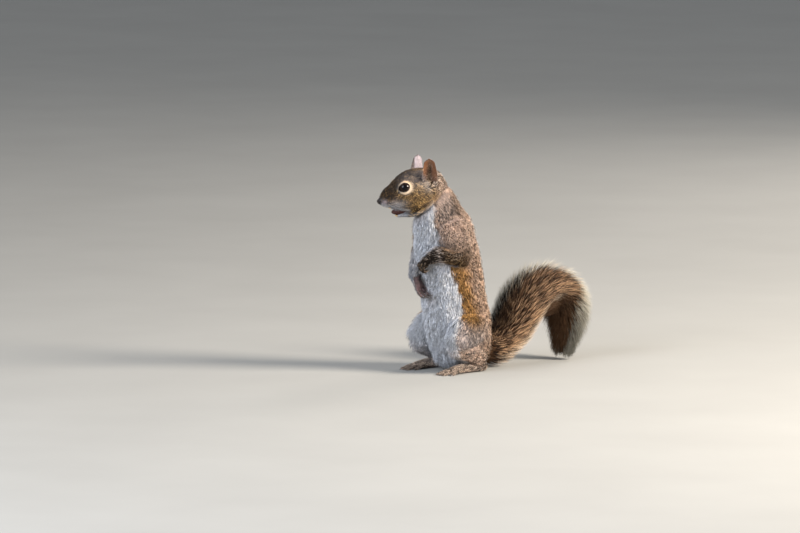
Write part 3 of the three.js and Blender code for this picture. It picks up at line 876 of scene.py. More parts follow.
def mouthMark(points, normals, at, face):
    # roof and floor of the open mouth, and whatever lies within half a millimetre of the tongue; the mouth
    # tint there is painted shade of the cavity over the mouth's own red
    forwards, height = at[:, 0], at[:, 2]
    within = (forwards < 57) & (forwards > 36) & (np.abs(at[:, 1]) < 9.5)
    roof = smoothstep(0.1, -0.5, normals @ crownward) * smoothstep(0.9, 0.0, height - lipLine(forwards))
    floor = smoothstep(0.3, 0.8, normals @ crownward) * smoothstep(-22.5, -20.6, height)
    mouth = within * face * np.maximum(
        roof * smoothstep(-21, -19.5, height), floor * smoothstep(-16.5, -18, height)
    )
    off = points[:, None] - tonguePath["centre"]
    axes = (tonguePath[key] for key in ("across", "up", "along"))
    across, above, behind = (np.einsum("pci,ci->pc", off, axis) for axis in axes)
    ring = np.hypot(across / (tonguePath["wide"] + 0.5), above / (tonguePath["deep"] + 0.5))
    return np.maximum(mouth, (np.hypot(ring, behind / 2.5).min(1) < 1) * 1.0)


def pawMarks(points, normals, field):
    # bare pads below the wrists and under the feet, and pale fur on a palm's back where its arm says so
    share, kind = field["share"], field["kind"]
    pads, pale = np.zeros(len(points)), np.zeros(len(points))
    for name in ("left", "right"):
        arm = arms[name]
        parts = (f"palm_{name}", f"finger_{name}", f"thumb_{name}")
        hand = sum(s for n, s in share.items() if n.startswith(parts))
        below = (points - np.array(arm["wrist"])) @ unit(np.array(arm["way"]))
        inwards = normals @ arm["inward"]
        pads += hand * smoothstep(0.25, 0.6, inwards) * smoothstep(1, 4.5, below)
        furred = np.maximum(1 - smoothstep(0.0, 0.5, inwards), smoothstep(4.5, 1, below))
        pale += share[f"palm_{name}"] * furred * arm["paleBack"]
    soles = (kind["foot"] + kind["toe"]) * smoothstep(-0.5, -0.8, normals[:, 2])
    return pads, soles, pale


def markings(points, normals, field):
    at = inHead(points)
    kind, share = field["kind"], field["share"]
    height, front = points[:, 2], field["front"]
    ragged = softNoise(points, 7, 3) + 0.6 * softNoise(points, 2.6, 4)
    face = kind["skull"] + kind["jaw"] + kind["nose"]
    thighs = share["thigh_left"] + share["thigh_right"]
    trunkWhite, rust, seam = trunkMarks(points, field, ragged)
    headMark = headMarks(at, face, ragged)
    cream, lidRims = eyeMarks(points, ragged)
    inside, paleBack, earShade, earRim = earMarks(points, normals, share)
    pads, soles, palePalm = pawMarks(points, normals, field)
    white = trunkWhite * (face + kind["spine"]) + limbWhite(points, normals, share, ragged)
    white = white * (1 - face) + headMark["white"]
    # thighs and the sides of the neck are a cooler, paler grey
    white += 0.3 * thighs * smoothstep(58, 40, height)
    white += 0.1 * kind["spine"] * smoothstep(148, 168, height) * smoothstep(125, 95, front)
    # the tops of the thighs are tanned where they aren't white
    tanned = thighs * smoothstep(46, 64, height + 2 * ragged) * smoothstep(115, 80, front)
    rust += 0.4 * tanned * (1 - np.clip(white, 0, 1))
    white += palePalm
    # arms darken towards the hands, and feet are half as dark
    paw = 0.9 * (kind["palm"] + kind["finger"]) + 0.85 * kind["forearm"]
    paw += 0.5 * (kind["foot"] + kind["toe"]) + 0.5 * kind["upperArm"] * smoothstep(144, 122, height)
    # the ears' painted shade, and the nape's painted shade that comes in with the seam, join the dark marks
    dark = np.maximum(np.maximum(headMark["dark"], seam), earShade)
    dark = np.maximum(dark, paw * (1 - pads) * (1 - 0.8 * np.clip(white, 0, 1)))
    # bare skin: nose, lids, mouth and the pads under hands and feet, blotched black as painted shade in
    # their creases
    nose = smoothstep(60.4, 61.6, at[:, 0] + 0.25 * (at[:, 2] + 2)) * face
    bare = np.clip(pads + soles, 0, 1)
    # painted shade: black blotches in the creases of the pads
    creaseShade = 0.85 * bare * smoothstep(-0.05, 0.2, softNoise(points, 1.7, 61))
    return {
        "rust": np.clip(rust, 0, 1) * (1 - face) * (1 - kind["upperArm"] * 0.7),
        "white": np.clip(white, 0, 1),
        "dark": np.clip(dark, 0, 1) * (1 - cream),
        "cheek": headMark["cheek"],
        "cream": np.maximum(cream, 0.85 * earRim),
        "bare": bare,
        "black": np.clip(nose + lidRims + creaseShade, 0, 1),
        "mouth": mouthMark(points, normals, at, face),
        "inside": np.clip(inside, 0, 1),
        "pale": np.clip(paleBack + 0.6 * headMark["noseSide"], 0, 1),
        "tail": kind["tail"],
    }


markGroups = {
    "marksA": ("rust", "white", "dark", "cheek"),
    "marksB": ("cream", "bare", "black", "mouth"),
    "marksC": ("inside", "pale", "tail", "fringe"),
}


def setMarks(piece, marks, hair):
    # three colour attributes hold the masks; a fourth holds how far along its hair a point is, and its tone
    # with any painted shade and light
    count = len(piece.data.vertices)
    for name, keys in markGroups.items():
        values = np.stack([np.broadcast_to(marks.get(key, 0.0), count) for key in keys], 1)
        piece.data.attributes.new(name, "FLOAT_COLOR", "POINT").data.foreach_set(
            "color", values.astype(np.float32).ravel()
        )
    values = np.stack([np.broadcast_to(h, count) for h in (*hair, 0.0, 1.0)], 1)
    piece.data.attributes.new("hair", "FLOAT_COLOR", "POINT").data.foreach_set(
        "color", values.astype(np.float32).ravel()
    )


def addNode(tree, kind, settings=None, links=None):
    # one node, its properties and socket values by name, and links into its sockets by name or number
    node = tree.nodes.new(kind)
    for key, value in (settings or {}).items():
        if isinstance(key, str) and hasattr(node, key):
            setattr(node, key, value)
        else:
            node.inputs[key].default_value = value
    for key, socket in (links or {}).items():
        tree.links.new(socket, node.inputs[key])
    return node


def newMaterial(name):
    material = bpy.data.materials.new(name)
    material.use_nodes = True
    material.node_tree.nodes.clear()
    return material, material.node_tree


def addRamp(tree, stops, fac):
    # a colour ramp through (place, hex) stops
    node = addNode(tree, "ShaderNodeValToRGB", links={"Fac": fac})
    elements = node.color_ramp.elements
    while len(elements) > 1:
        elements.remove(elements[-1])
    elements[0].position, elements[0].color = stops[0][0], toLinear(stops[0][1])
    for place, colour in stops[1:]:
        elements.new(place).color = toLinear(colour)
    return node.outputs["Color"]


# Hair colours from root to tip. Each grey hair is banded: slate root, tan, black, pale tip.
furRamps = {
    "grey": [
        (0.0, "#80736a"), (0.3, "#cab0a0"), (0.53, "#c4a997"), (0.58, "#33281f"),
        (0.73, "#382c25"), (0.78, "#dcc7b8"), (1.0, "#efe4da"),
    ],
    "rust": [
        (0.0, "#76583a"), (0.3, "#b58a55"), (0.53, "#ab814d"), (0.58, "#422e1a"),
        (0.73, "#49331d"), (0.78, "#bd925f"), (1.0, "#d9bb90"),
    ],
    "cheek": [
        (0.0, "#5c4a31"), (0.3, "#967750"), (0.53, "#8e7048"), (0.58, "#241a0f"),
        (0.73, "#271d11"), (0.78, "#9c7c4c"), (1.0, "#c6aa7a"),
    ],
    "dark": [
        (0.0, "#2e2318"), (0.3, "#5a442a"), (0.53, "#513d25"), (0.58, "#18110a"),
        (0.73, "#1a130b"), (0.78, "#624727"), (1.0, "#927446"),
    ],
    # white fur, its own white given a cool blue-grey cast as painted shade
    "white": [
        (0.0, "#a4aab4"), (0.3, "#d8dbe1"), (0.6, "#dcdfe5"), (0.66, "#aab0bb"),
        (0.73, "#b1b6c0"), (0.8, "#eceef3"), (1.0, "#f7f8fa"),
    ],
    "cream": [(0.0, "#a58a6c"), (0.5, "#ccb497"), (1.0, "#dfcab0")],
    # inside the ear: warm brown skin, darkened as painted shade
    "inside": [(0.0, "#4a2c1a"), (0.6, "#5f3b23"), (1.0, "#7c563a")],
    "pale": [(0.0, "#857672"), (0.6, "#a2969b"), (1.0, "#bab1b8")],
    "tail": [
        (0.0, "#38291d"), (0.3, "#644a36"), (0.5, "#5e4633"), (0.56, "#201711"),
        (0.73, "#1d1510"), (0.79, "#745a43"), (1.0, "#a3896e"),
    ],
    "fringe": [
        (0.0, "#4c3a2c"), (0.3, "#7d634f"), (0.45, "#6a5342"), (0.5, "#221a14"),
        (0.68, "#221a14"), (0.75, "#8f8b7f"), (1.0, "#bdbbb0"),
    ],
}
# the mouth's own red darkened as painted shade of its cavity
skinTints = {"bare": "#544042", "black": "#221a18", "mouth": "#3c1e18"}


def coatColour(tree):
    # grey banding first, then each other marking laid over it by its mask
    hair = addNode(tree, "ShaderNodeAttribute", {"attribute_name": "hair"})
    parts = addNode(tree, "ShaderNodeSeparateColor", links={0: hair.outputs["Color"]})
    along, toneAndShade = parts.outputs[0], parts.outputs[1]
    masks = {}
    for name, keys in markGroups.items():
        mark = addNode(tree, "ShaderNodeAttribute", {"attribute_name": name})
        split = addNode(tree, "ShaderNodeSeparateColor", links={0: mark.outputs["Color"]})
        for key, socket in zip(keys, (*split.outputs[:3], mark.outputs["Alpha"])):
            masks[key] = socket
    colour = addRamp(tree, furRamps["grey"], along)
    for key in list(furRamps)[1:]:
        over = addRamp(tree, furRamps[key], along)
        colour = addNode(
            tree, "ShaderNodeMix", {"data_type": "RGBA"}, {0: masks[key], 6: colour, 7: over}
        ).outputs[2]
    for key, tint in skinTints.items():
        colour = addNode(
            tree, "ShaderNodeMix", {"data_type": "RGBA", 7: toLinear(tint)}, {0: masks[key], 6: colour}
        ).outputs[2]
    # every tuft a little lighter or darker than the next, and whole regions darker or lighter as painted
    # shade and light
    value = addNode(
        tree,
        "ShaderNodeMapRange",
        {"From Min": 0.0, "From Max": 1.0, "To Min": 0.6, "To Max": 1.16},
        {"Value": toneAndShade},
    )
    varied = addNode(
        tree, "ShaderNodeHueSaturation", links={"Value": value.outputs[0], "Color": colour}
    )
    return varied.outputs[0], masks


def furMaterial(name):
    # guard hair: keratin, so fine that it is all but matt
    material, tree = newMaterial(name)
    colour, _ = coatColour(tree)
    shader = addNode(
        tree,
        "ShaderNodeBsdfPrincipled",
        {
            "Roughness": 0.62,
            "IOR": 1.5,
            "Specular IOR Level": 0.09,
        },
        {"Base Color": colour},
    )
    addNode(tree, "ShaderNodeOutputMaterial", links={"Surface": shader.outputs[0]})
    return material


def hideMaterial():
    # hide under the coat: the same markings, with a streaked bump where the hair is too short to stand up,
    # and a pebbled one on bare nose, lids and pads
    material, tree = newMaterial("furredHide")
    colour, masks = coatColour(tree)
    place = addNode(tree, "ShaderNodeTexCoord").outputs["Object"]
    lie = addNode(tree, "ShaderNodeAttribute", {"attribute_name": "lie"}).outputs["Vector"]
    streak = addNode(
        tree, "ShaderNodeTexNoise", {"Scale": 1.0, "Detail": 3.0, "Roughness": 0.6}, {"Vector": lie}
    )
    pebble = addNode(tree, "ShaderNodeTexVoronoi", {"Scale": 2200.0}, {"Vector": place})
    bareness = addNode(
        tree,
        "ShaderNodeMath",
        {"operation": "ADD", "use_clamp": True},
        {0: masks["bare"], 1: masks["black"]},
    )
    height = addNode(
        tree,
        "ShaderNodeMix",
        {"data_type": "FLOAT"},
        {0: bareness.outputs[0], 2: streak.outputs[0], 3: pebble.outputs["Distance"]},
    )
    bump = addNode(
        tree, "ShaderNodeBump", {"Strength": 0.7, "Distance": 0.0003}, {"Height": height.outputs[0]}
    )
    rough = addNode(
        tree,
        "ShaderNodeMapRange",
        {"From Min": 0.0, "From Max": 1.0, "To Min": 0.66, "To Max": 0.42},
        {"Value": bareness.outputs[0]},
    )
    shader = addNode(
        tree,
        "ShaderNodeBsdfPrincipled",
        {"IOR": 1.45, "Specular IOR Level": 0.35},
        {"Base Color": colour, "Roughness": rough.outputs[0], "Normal": bump.outputs[0]},
    )
    addNode(tree, "ShaderNodeOutputMaterial", links={"Surface": shader.outputs[0]})
    return material


fur = furMaterial("guardHair")
hide = hideMaterial()


def sampleRoots(points, triangles, weight, count):
    # places spread by area × weight: the running total is cut at even, jittered steps
    a, b, c = (points[triangles[:, i]] for i in range(3))
    area = np.linalg.norm(np.cross(b - a, c - a), axis=1) / 2
    total = np.cumsum(area * weight)
    at = (np.arange(count) + rng.random(count)) / count * total[-1]
    which = np.minimum(np.searchsorted(total, at), len(triangles) - 1)
    u, v = rng.random(count), rng.random(count)
    over = u + v > 1
    u[over], v[over] = 1 - u[over], 1 - v[over]
    return which, np.stack([1 - u - v, u, v], 1)


# a piece of coat stays under this many triangles
pieceLimit = 190000


def tuftTriangles(rings):
    # one at the root, six between two rings and three at the tip
    return 1 + 6 * (rings - 1) + 3


def tuftPiece(name, spines, aside, outward, widths, marks, hair, patch, material, thin=0.4):
    # each tuft is a closed blade: three-sided rings along its spine, widest at a third, shut by a tip
    count, rings = spines.shape[0], spines.shape[1] - 1
    s = np.linspace(0, 1, rings + 1)
    swell = np.interp(s[:-1], (0, 0.35, 1), (0.7, 1.0, 0.25))
    half = widths[:, None] / 2 * swell
    section = np.array([(-1, 0), (1, 0), (0, 2 * thin)])
    sides = aside[:, None, None] * (half[..., None] * section[:, 0])[..., None]
    rises = outward[:, None, None] * (half[..., None] * section[:, 1])[..., None]
    body = (spines[:, :-1, None] + sides + rises).reshape(count, rings * 3, 3)
    points = np.concatenate([body, spines[:, -1:]], 1).reshape(-1, 3)
    each = rings * 3 + 1
    i, j = np.arange(3), (np.arange(3) + 1) % 3
    faces = [np.array([[0, 2, 1]])]
    for k in range(rings - 1):
        a, b = k * 3, k * 3 + 3
        faces.append(np.stack([a + i, a + j, b + j], 1))
        faces.append(np.stack([a + i, b + j, b + i], 1))
    faces.append(np.stack([rings * 3 - 3 + i, rings * 3 - 3 + j, np.full(3, rings * 3)], 1))
    faces = np.concatenate(faces)
    sample = points[:each]
    p0, p1, p2 = (sample[faces[:, k]] - sample[0] for k in range(3))
    if np.einsum("ij,ij->", p0, np.cross(p1, p2)) < 0:
        faces = faces[:, ::-1]
    triangles = (faces[None] + (np.arange(count) * each)[:, None, None]).reshape(-1, 3)
    piece = makePiece(name, points, triangles)
    repeated = {key: np.repeat(value, each) for key, value in marks.items()}
    along = np.concatenate([np.repeat(s[:-1], 3), [1.0]])
    run = (along[None] * hair["span"][:, None] + hair["start"][:, None]).ravel()
    setMarks(piece, repeated, (run, np.repeat(hair["toneAndShade"], each)))
    # the tuft's patch on the unwrap: across it in u, along it in v
    spread = np.concatenate([np.tile([0.0, 1.0, 0.5], rings), [0.5]])
    corner = np.stack([spread, along], 1) * 0.003
    uv = (np.clip(patch, 0.002, 0.994)[:, None] + corner[None]).reshape(-1, 2)
    layer = piece.data.uv_layers.new(name="OFBake")
    layer.data.foreach_set("uv", uv[triangles.ravel()].astype(np.float32).ravel())
    piece.data.materials.append(material)
    return piece


pieces = []


def own(piece):
    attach(piece, "root")
    pieces.append(piece)
    return piece


skinPoints, skinTriangles = buildSkin()
skinNormals = normalsOf(skinPoints, skinTriangles)
skinField = readField(skinPoints)
skinMarks = markings(skinPoints, skinNormals, skinField)
print("markings worked out")


def layUnwrap(field, names):
    # each form is a strip of the map, its turn across the strip and its way walked up it
    order = np.full(len(formNames), 0)
    for place, name in enumerate(names):
        order[formNames.index(name)] = place
    u = (order[field["form"]] + 0.02 + 0.96 * field["turn"]) / len(names)
    return np.stack([u, 0.01 + 0.98 * field["walk"]], 1)


def addSkin():
    rims = [lidRim(1), lidRim(-1)]
    points, triangles = joinSolids([(skinPoints, skinTriangles)] + rims)
    piece = makePiece("skin", points, triangles)
    extra = len(points) - len(skinPoints)
    marks = {key: np.concatenate([value, np.zeros(extra)]) for key, value in skinMarks.items()}
    marks["black"][len(skinPoints):] = 1
    # under the coat the hide takes the middle of each hair's banding, broken up at hair-clump scale
    speckle = 0.5 + 0.5 * softNoise(points, 0.9, 8)
    along = 0.42 + 0.5 * speckle
    toneAndShade = 0.5 + 0.3 * softNoise(points, 2.2, 9)
    setMarks(piece, marks, (along, toneAndShade))
    sizes = np.array([forms[n]["path"]["wide"].mean() * 6.28 for n in formNames])
    lengths = np.array([forms[n]["path"]["walked"][-1] for n in formNames])
    lie = np.zeros((len(points), 3))
    form = skinField["form"]
    lie[:len(skinPoints), 0] = skinField["turn"] * sizes[form] / 0.45
    lie[:len(skinPoints), 1] = skinField["walk"] * lengths[form] / 2.5
    lie[:len(skinPoints), 2] = form
    piece.data.attributes.new("lie", "FLOAT_VECTOR", "POINT").data.foreach_set(
        "vector", lie.astype(np.float32).ravel()
    )
    piece.data.materials.append(hide)
    flesh = [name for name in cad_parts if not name.startswith("eye_")]
    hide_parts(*flesh)
    return own(piece)


addSkin()
print("skin made")


def groomRoots():
    # how thickly each skin face is planted: its form's density, none on bare skin or the tail's core
    marks = skinMarks
    clear = (1 - marks["bare"]) * (1 - marks["black"]) * (1 - marks["mouth"])
    clear = clear * (1 - skinField["kind"]["tail"]) * (1 - 0.55 * marks["inside"])
    density = (skinField["density"] * np.clip(clear, 0, 1))[skinTriangles].mean(1)
    density = density * (clear[skinTriangles].min(1) > 0.3)
    a, b, c = (skinPoints[skinTriangles[:, i]] for i in range(3))
    area = np.linalg.norm(np.cross(b - a, c - a), axis=1) / 2
    count = int((area * density).sum())
    which, shares = sampleRoots(skinPoints, skinTriangles, density, count)
    corners = skinTriangles[which]
    root = np.einsum("ij,ijk->ik", shares, skinPoints[corners])
    normal = unit(np.einsum("ij,ijk->ik", shares, skinNormals[corners]))
    return root, normal


def groomFlow(root, normal, field):
    # the lie of the coat: with the forms, parted round the eyes, sagging on the body, laid into the skin
    flow = unit(field["flow"])
    trunk = field["kind"]["spine"] + field["kind"]["thigh"]
    sag = 0.35 * field["kind"]["spine"] + 0.9 * field["kind"]["thigh"]
    flow = flow + sag[:, None] * np.array([0, 0, -1])
    face = field["kind"]["skull"]
    flow = flow - (0.28 * face * smoothstep(8, -10, inHead(root)[:, 2]))[:, None] * crownward
    for side in (1, -1):
        q, x, y, z = eyeSpread(root, side)
        _, slit, over, _ = eyeFrame(side)
        away = unit(x[:, None] * slit + y[:, None] * over)
        pull = 1.3 * smoothstep(2.4, 1.1, q) * (z > -1)
        flow = flow + away * pull[:, None]
    sway = np.stack([softNoise(root, 9, 20 + i) for i in range(3)], 1) * 0.25
    sway += np.stack([softNoise(root, 3.2, 30 + i) for i in range(3)], 1) * 0.42
    flow = flow + sway * (0.35 + 0.65 * trunk)[:, None]
    flow = flow - normal * np.einsum("ij,ij->i", flow, normal)[:, None]
    return unit(flow)


armForms = tuple(n for n in formNames if n.startswith(("upper", "fore", "palm", "finger", "thumb")))
legForms = tuple(n for n in formNames if n.startswith(("thigh", "shank", "foot", "toe")))
# each piece of coat: its forms, its colour slot and the number of rings in a tuft
coatPieces = [
    ("coatHead", ("skull", "jaw", "nose", "ear_left", "ear_right"), "head_fur", 2),
    ("coatTrunk", ("spine",), "body_fur", 3),
    ("coatArms", armForms, "grey_fur", 2),
    ("coatLegs", legForms, "grey_fur", 2),
]
# one hair in eight is a guard hair, longer and finer than the rest, which breaks the outline
guardHairs = {"share": 0.125, "length": 1.25, "lift": 1.5, "width": 0.75}
# how far hairs may reach sideways, down to the floor and out of the coat
coatReach = {"side": 44.3, "floor": 0.25, "out": 2.2}


def measureHairs(root, at, field, marks):
    # each hair's length, lift, width and sideways bow, in mm
    count = len(root)
    face = field["kind"]["skull"] + field["kind"]["jaw"]
    # short on the muzzle and round the eyes, long and loose on the belly
    short = 1 - face * 0.5 * smoothstep(30, 56, at[:, 0]) + face * 0.8 * smoothstep(18, 2, at[:, 0])
    for side in (1, -1):
        q, _, _, z = eyeSpread(root, side)
        short = short * (1 - 0.6 * smoothstep(2.3, 1.2, q) * (z > -1))
    short = short * (1 - 0.45 * marks["inside"])
    belly = marks["white"] * (1 - face)
    length = field["length"] * short * rng.uniform(0.75, 1.2, count) * (1 + 0.12 * belly)
    lift = field["depth"] * rng.uniform(0.75, 1.25, count) * np.sqrt(short)
    lift = lift * (1 + 0.28 * softNoise(root, 4.2, 12) + 0.25 * belly)
    width = field["width"] * rng.uniform(0.75, 1.25, count) * np.sqrt(short) * (1 + 0.1 * belly)
    guard = (rng.random(count) < guardHairs["share"]) & (face < 0.5)
    length = np.where(guard, guardHairs["length"], 1) * length
    lift = np.where(guard, guardHairs["lift"], 1) * lift
    lift = lift * (1 + 0.5 * field["kind"]["forearm"] + 0.25 * face)
    lift = np.minimum(lift, field["depth"] + coatReach["out"])
    width = np.where(guard, guardHairs["width"], 1) * width
    bow = (rng.normal(0, 0.06, count) * length)[:, None]
    return {"length": length, "lift": lift, "width": width, "bow": bow}


def strands(hairs, which, rings):
    # along·length·s + out·lift·sin(s·π/2)^0.9, bowed a little to one side
    s = np.linspace(0, 1, rings + 1)
    root, flow, normal, aside = (hairs[key][which] for key in ("root", "flow", "normal", "aside"))
    run = hairs["length"][which][:, None] * s
    rise = -0.25 + (hairs["lift"][which][:, None] + 0.25) * np.sin(s * np.pi / 2) ** 0.9
    line = root[:, None] + flow[:, None] * run[..., None]
    line = line + normal[:, None] * rise[..., None]
    line = line + aside[:, None] * (hairs["bow"][which] * np.sin(s * np.pi))[..., None]
    line[..., 0] = np.clip(line[..., 0], -coatReach["side"], coatReach["side"])
    line[..., 2] = np.maximum(line[..., 2], coatReach["floor"])
    return line


def bandHairs(root, at, flow, length, field, marks):
    # where a hair stops in its banding decides whether its tip is black or pale, hair by hair
    # and clump by clump; clumps are long the way their form runs
    count = len(root)
    face = field["kind"]["skull"] + field["kind"]["jaw"]
    ends = [forms[name]["path"]["centre"][[0, -1]] for name in formNames]
    lay = unit(np.array([last - first for first, last in ends]))[field["form"]]
    tip = root + flow * (0.9 * length)[:, None]
    streaked = tip - 0.68 * lay * np.einsum("ij,ij->i", lay, tip)[:, None]
    fine = 0.7 * softNoise(streaked, 1.7, 15) + 0.5 * softNoise(streaked, 0.95, 18)
    # hands, arms, crown and neck carry more black, and the back carries less, as painted light where the
    # light falls on it
    paws = field["kind"]["palm"] + field["kind"]["finger"]
    arm = field["kind"]["forearm"]
    # the back, painted lighter where the light falls on it
    behind = field["kind"]["spine"] * smoothstep(85, 118, field["front"])
    blacker = 0.55 * paws + face * (0.12 + 0.3 * marks["dark"])
    blacker += 0.26 * (1 - face) * smoothstep(138, 160, root[:, 2]) * (1 - marks["white"])
    blacker += 0.22 * marks["rust"] * smoothstep(90, 55, root[:, 2]) - 0.16 * behind
    blacker += 0.16 * arm + 0.14 * field["kind"]["upperArm"]
    swing = 0.48 + 0.4 * (face + paws) + 0.15 * arm
    clump = smoothstep(-0.2 - 0.1 * arm, 0.35 - 0.1 * arm, fine)
    ticked = rng.random(count) < 0.12 + blacker + swing * clump
    stop = np.where(ticked, rng.uniform(0.7, 0.77, count), rng.uniform(0.86, 1.0, count))
    # pale-tipped hairs on the forearms are as pale as the back's
    marks["dark"] = marks["dark"] * (1 - 0.7 * arm * ~ticked)
    # where hairs are short and barely overlap, most of each one shows, so it keeps to one band
    bared = smoothstep(0.14, 0.3, 1 / (field["density"] * field["width"] * field["length"]))
    bared = np.maximum(bared, 0.75 * (arm + paws))
    begin = bared * np.where(ticked, 0.58, 0.77)
    toneAndShade = 0.5 * rng.random(count) + 0.25 + 0.45 * softNoise(streaked, 2.2, 16)
    toneAndShade = 0.5 + (toneAndShade - 0.5) * (1 - 0.55 * marks["white"])
    # then painted shade and light, region by region
    toneAndShade += paintedShading(root, at, field, marks, face, arm, behind)
    return {"span": stop - begin, "start": begin, "toneAndShade": np.clip(toneAndShade, 0, 1)}


def paintedShading(root, at, field, marks, face, arm, behind):
    # painted shade and light: how much darker or lighter than its neighbours a whole region of the coat is
    # painted
    high, white = root[:, 2], marks["white"]
    # painted shade on the white towards its edge and under the chin, and on the fronts of the thighs
    whiteShade = smoothstep(28, 58, field["front"]) * 0.24 + smoothstep(152, 170, high) * 0.4
    paintedShade = -white * field["kind"]["spine"] * whiteShade - 0.28 * white * field["kind"]["thigh"]
    # painted shade too on the grey up the nape to the ears and on the crown, and the forearms are darker as
    # well
    paintedShade -= 0.45 * (1 - white) * smoothstep(152, 168, high) * smoothstep(19, 6, at[:, 0])
    paintedShade -= 0.2 * arm * (1 - white)
    paintedShade -= face * marks["dark"] * (0.42 - 0.24 * smoothstep(40, 50, at[:, 0]))
    # painted light on the back, and painted shade at the foot of the flank
    return paintedShade + 0.16 * behind - 0.28 * marks["rust"] * smoothstep(95, 55, high)


def groomBody():
    root, normal = groomRoots()
    at = inHead(root)
    field = readField(root)
    flow = groomFlow(root, normal, field)
    marks = markings(root, normal, field)
    hairs = {"root": root, "flow": flow, "normal": normal, "aside": np.cross(flow, normal)}
    hairs.update(measureHairs(root, at, field, marks))
    hair = bandHairs(root, at, flow, hairs["length"], field, marks)
    for name, members, slot, rings in coatPieces:
        mine = np.flatnonzero(np.isin(field["form"], [formNames.index(m) for m in members]))
        patch = layUnwrap(field, members)
        triangles = len(mine) * tuftTriangles(rings)
        blocks = max(1, math.ceil(triangles / pieceLimit))
        # blocks run round the body or along it, so that each is one region of the coat
        place = field["front"] if name == "coatTrunk" else patch[:, 0]
        order = mine[np.argsort(place[mine], kind="stable")]
        for number, block in enumerate(np.array_split(order, blocks)):
            piece = tuftPiece(
                f"{name}{number + 1}",
                strands(hairs, block, rings),
                hairs["aside"][block],
                normal[block],
                hairs["width"][block],
                {key: value[block] for key, value in marks.items()},
                {key: value[block] for key, value in hair.items()},
                patch[block],
                fur,
            )
            own(piece)
        print(name, len(mine), "tufts in", blocks, "pieces,", triangles, "triangles")


groomBody()

# Tail: long banded hairs from the core out to the brush, laid towards its tip.
# under is the count of underfur hairs, dark as painted shade in the curl's hollow
tailHair = {"count": 23000, "under": 4500, "width": 0.62, "lead": (20, 34), "rings": 3}


def readPath(path, key, where):
    # a path's value so far along it, between its steps
    values = path[key]
    if values.ndim == 1:
        return np.interp(where, path["walked"], values)
    return np.stack([np.interp(where, path["walked"], values[:, i]) for i in range(3)], 1)


def fringeMask(share, turn, under):
    # pale tips fringe the tail's two flat edges, which turn as it curls; outside they spread to its tip
    twist = np.radians(np.interp(share, (0.15, 0.47, 0.68), (59, 17, -60)))
    flank = np.sin(-turn - twist)
    low = 0.8 - 0.45 * smoothstep(0.45, 0.62, share) * (flank > 0)
    # they stand all round its end, and more of them on the inner side from the arch on
    low = low * (1 - 0.6 * smoothstep(0.6, 0.82, share))
    inner = 0.3 + 0.5 * smoothstep(0.34, 0.44, share)
    return smoothstep(low, low + 0.15, np.abs(flank)) * ~under * np.where(flank > 0, 1, inner)


def growTail():
    # each hair is root·(1 − s)² + middle·2s(1 − s) + tip·s²
    count = tailHair["count"] + tailHair["under"]
    under = np.arange(count) >= tailHair["count"]
    core = pathOf(brush, lateral, 0.5)
    total = core["walked"][-1]
    start = (rng.random(count) * 1.02 - 0.04) * total * tailCore["stop"]
    start[under] = (0.28 + 0.6 * rng.random(under.sum())) * total
    share = np.clip(start / total, 0, 1)
    turn = 2 * np.pi * rng.random(count)
    # more hairs spring from the two sides than from above and below
    turn = turn - 0.22 * np.sin(2 * turn)
    # soft underfur fills the hollow of the curl, kept dark as painted shade
    turn[under] = rng.normal(np.pi / 2, 0.6, under.sum())
    edge = fringeMask(share, turn, under)
    reach = 1.06 - 0.62 * rng.random(count) ** 2.2 + 0.26 * edge * rng.random(count) ** 2
    reach[under] = rng.uniform(0.7, 1.85, under.sum())
    lead = rng.uniform(*tailHair["lead"], count) * (0.45 + 0.55 * reach)
    ahead = np.minimum(start + lead, total)
    beyond = np.maximum(start + lead - total, 0)
    place = np.maximum(start, 0)
    spoke = readPath(core, "across", place) * np.cos(turn)[:, None]
    spoke = spoke + readPath(core, "up", place) * np.sin(turn)[:, None]
    radius = tailCore["start"] + (tailCore["end"] - tailCore["start"]) * share
    root = readPath(core, "centre", place) + spoke * (radius * 0.85)[:, None]
    # tips stand on the brush's outline, and draw in where they reach past its end
    tilt = turn + rng.normal(0, 0.12, count)
    rounded = 1 - 0.45 * smoothstep(0, 26, beyond)
    ragged = reach * (1 + 0.07 * softNoise(np.stack([ahead, turn * 20, turn * 0], 1), 6, 51))
    wide = readPath(core, "wide", ahead) * rounded * np.minimum(ragged, 1.0)
    deep = readPath(core, "deep", ahead) * rounded * ragged
    tip = (
        readPath(core, "centre", ahead)
        + readPath(core, "across", ahead) * (wide * np.cos(tilt))[:, None]
        + readPath(core, "up", ahead) * (deep * np.sin(tilt))[:, None]
        + readPath(core, "along", ahead) * (0.45 * beyond)[:, None]
    )
    middle = (root + tip) / 2 + spoke * (0.1 * np.linalg.norm(tip - root, axis=1))[:, None]
    middle += rng.normal(0, 0.7, (count, 3))
    s = np.linspace(0, 1, tailHair["rings"] + 1)[None, :, None]
    spines = root[:, None] * (1 - s) ** 2 + middle[:, None] * (2 * s * (1 - s)) + tip[:, None] * s**2
    spines[..., 2] = np.maximum(spines[..., 2], 0.3)
    way = unit(tip - root)
    outward = unit(spoke - way * np.einsum("ij,ij->i", spoke, way)[:, None])
    return {
        "start": start,
        "share": share,
        "turn": turn,
        "under": under,
        "edge": edge,
        "reach": reach,
        "tip": tip,
        "spines": spines,
        "outward": outward,
        "aside": np.cross(way, outward),
    }


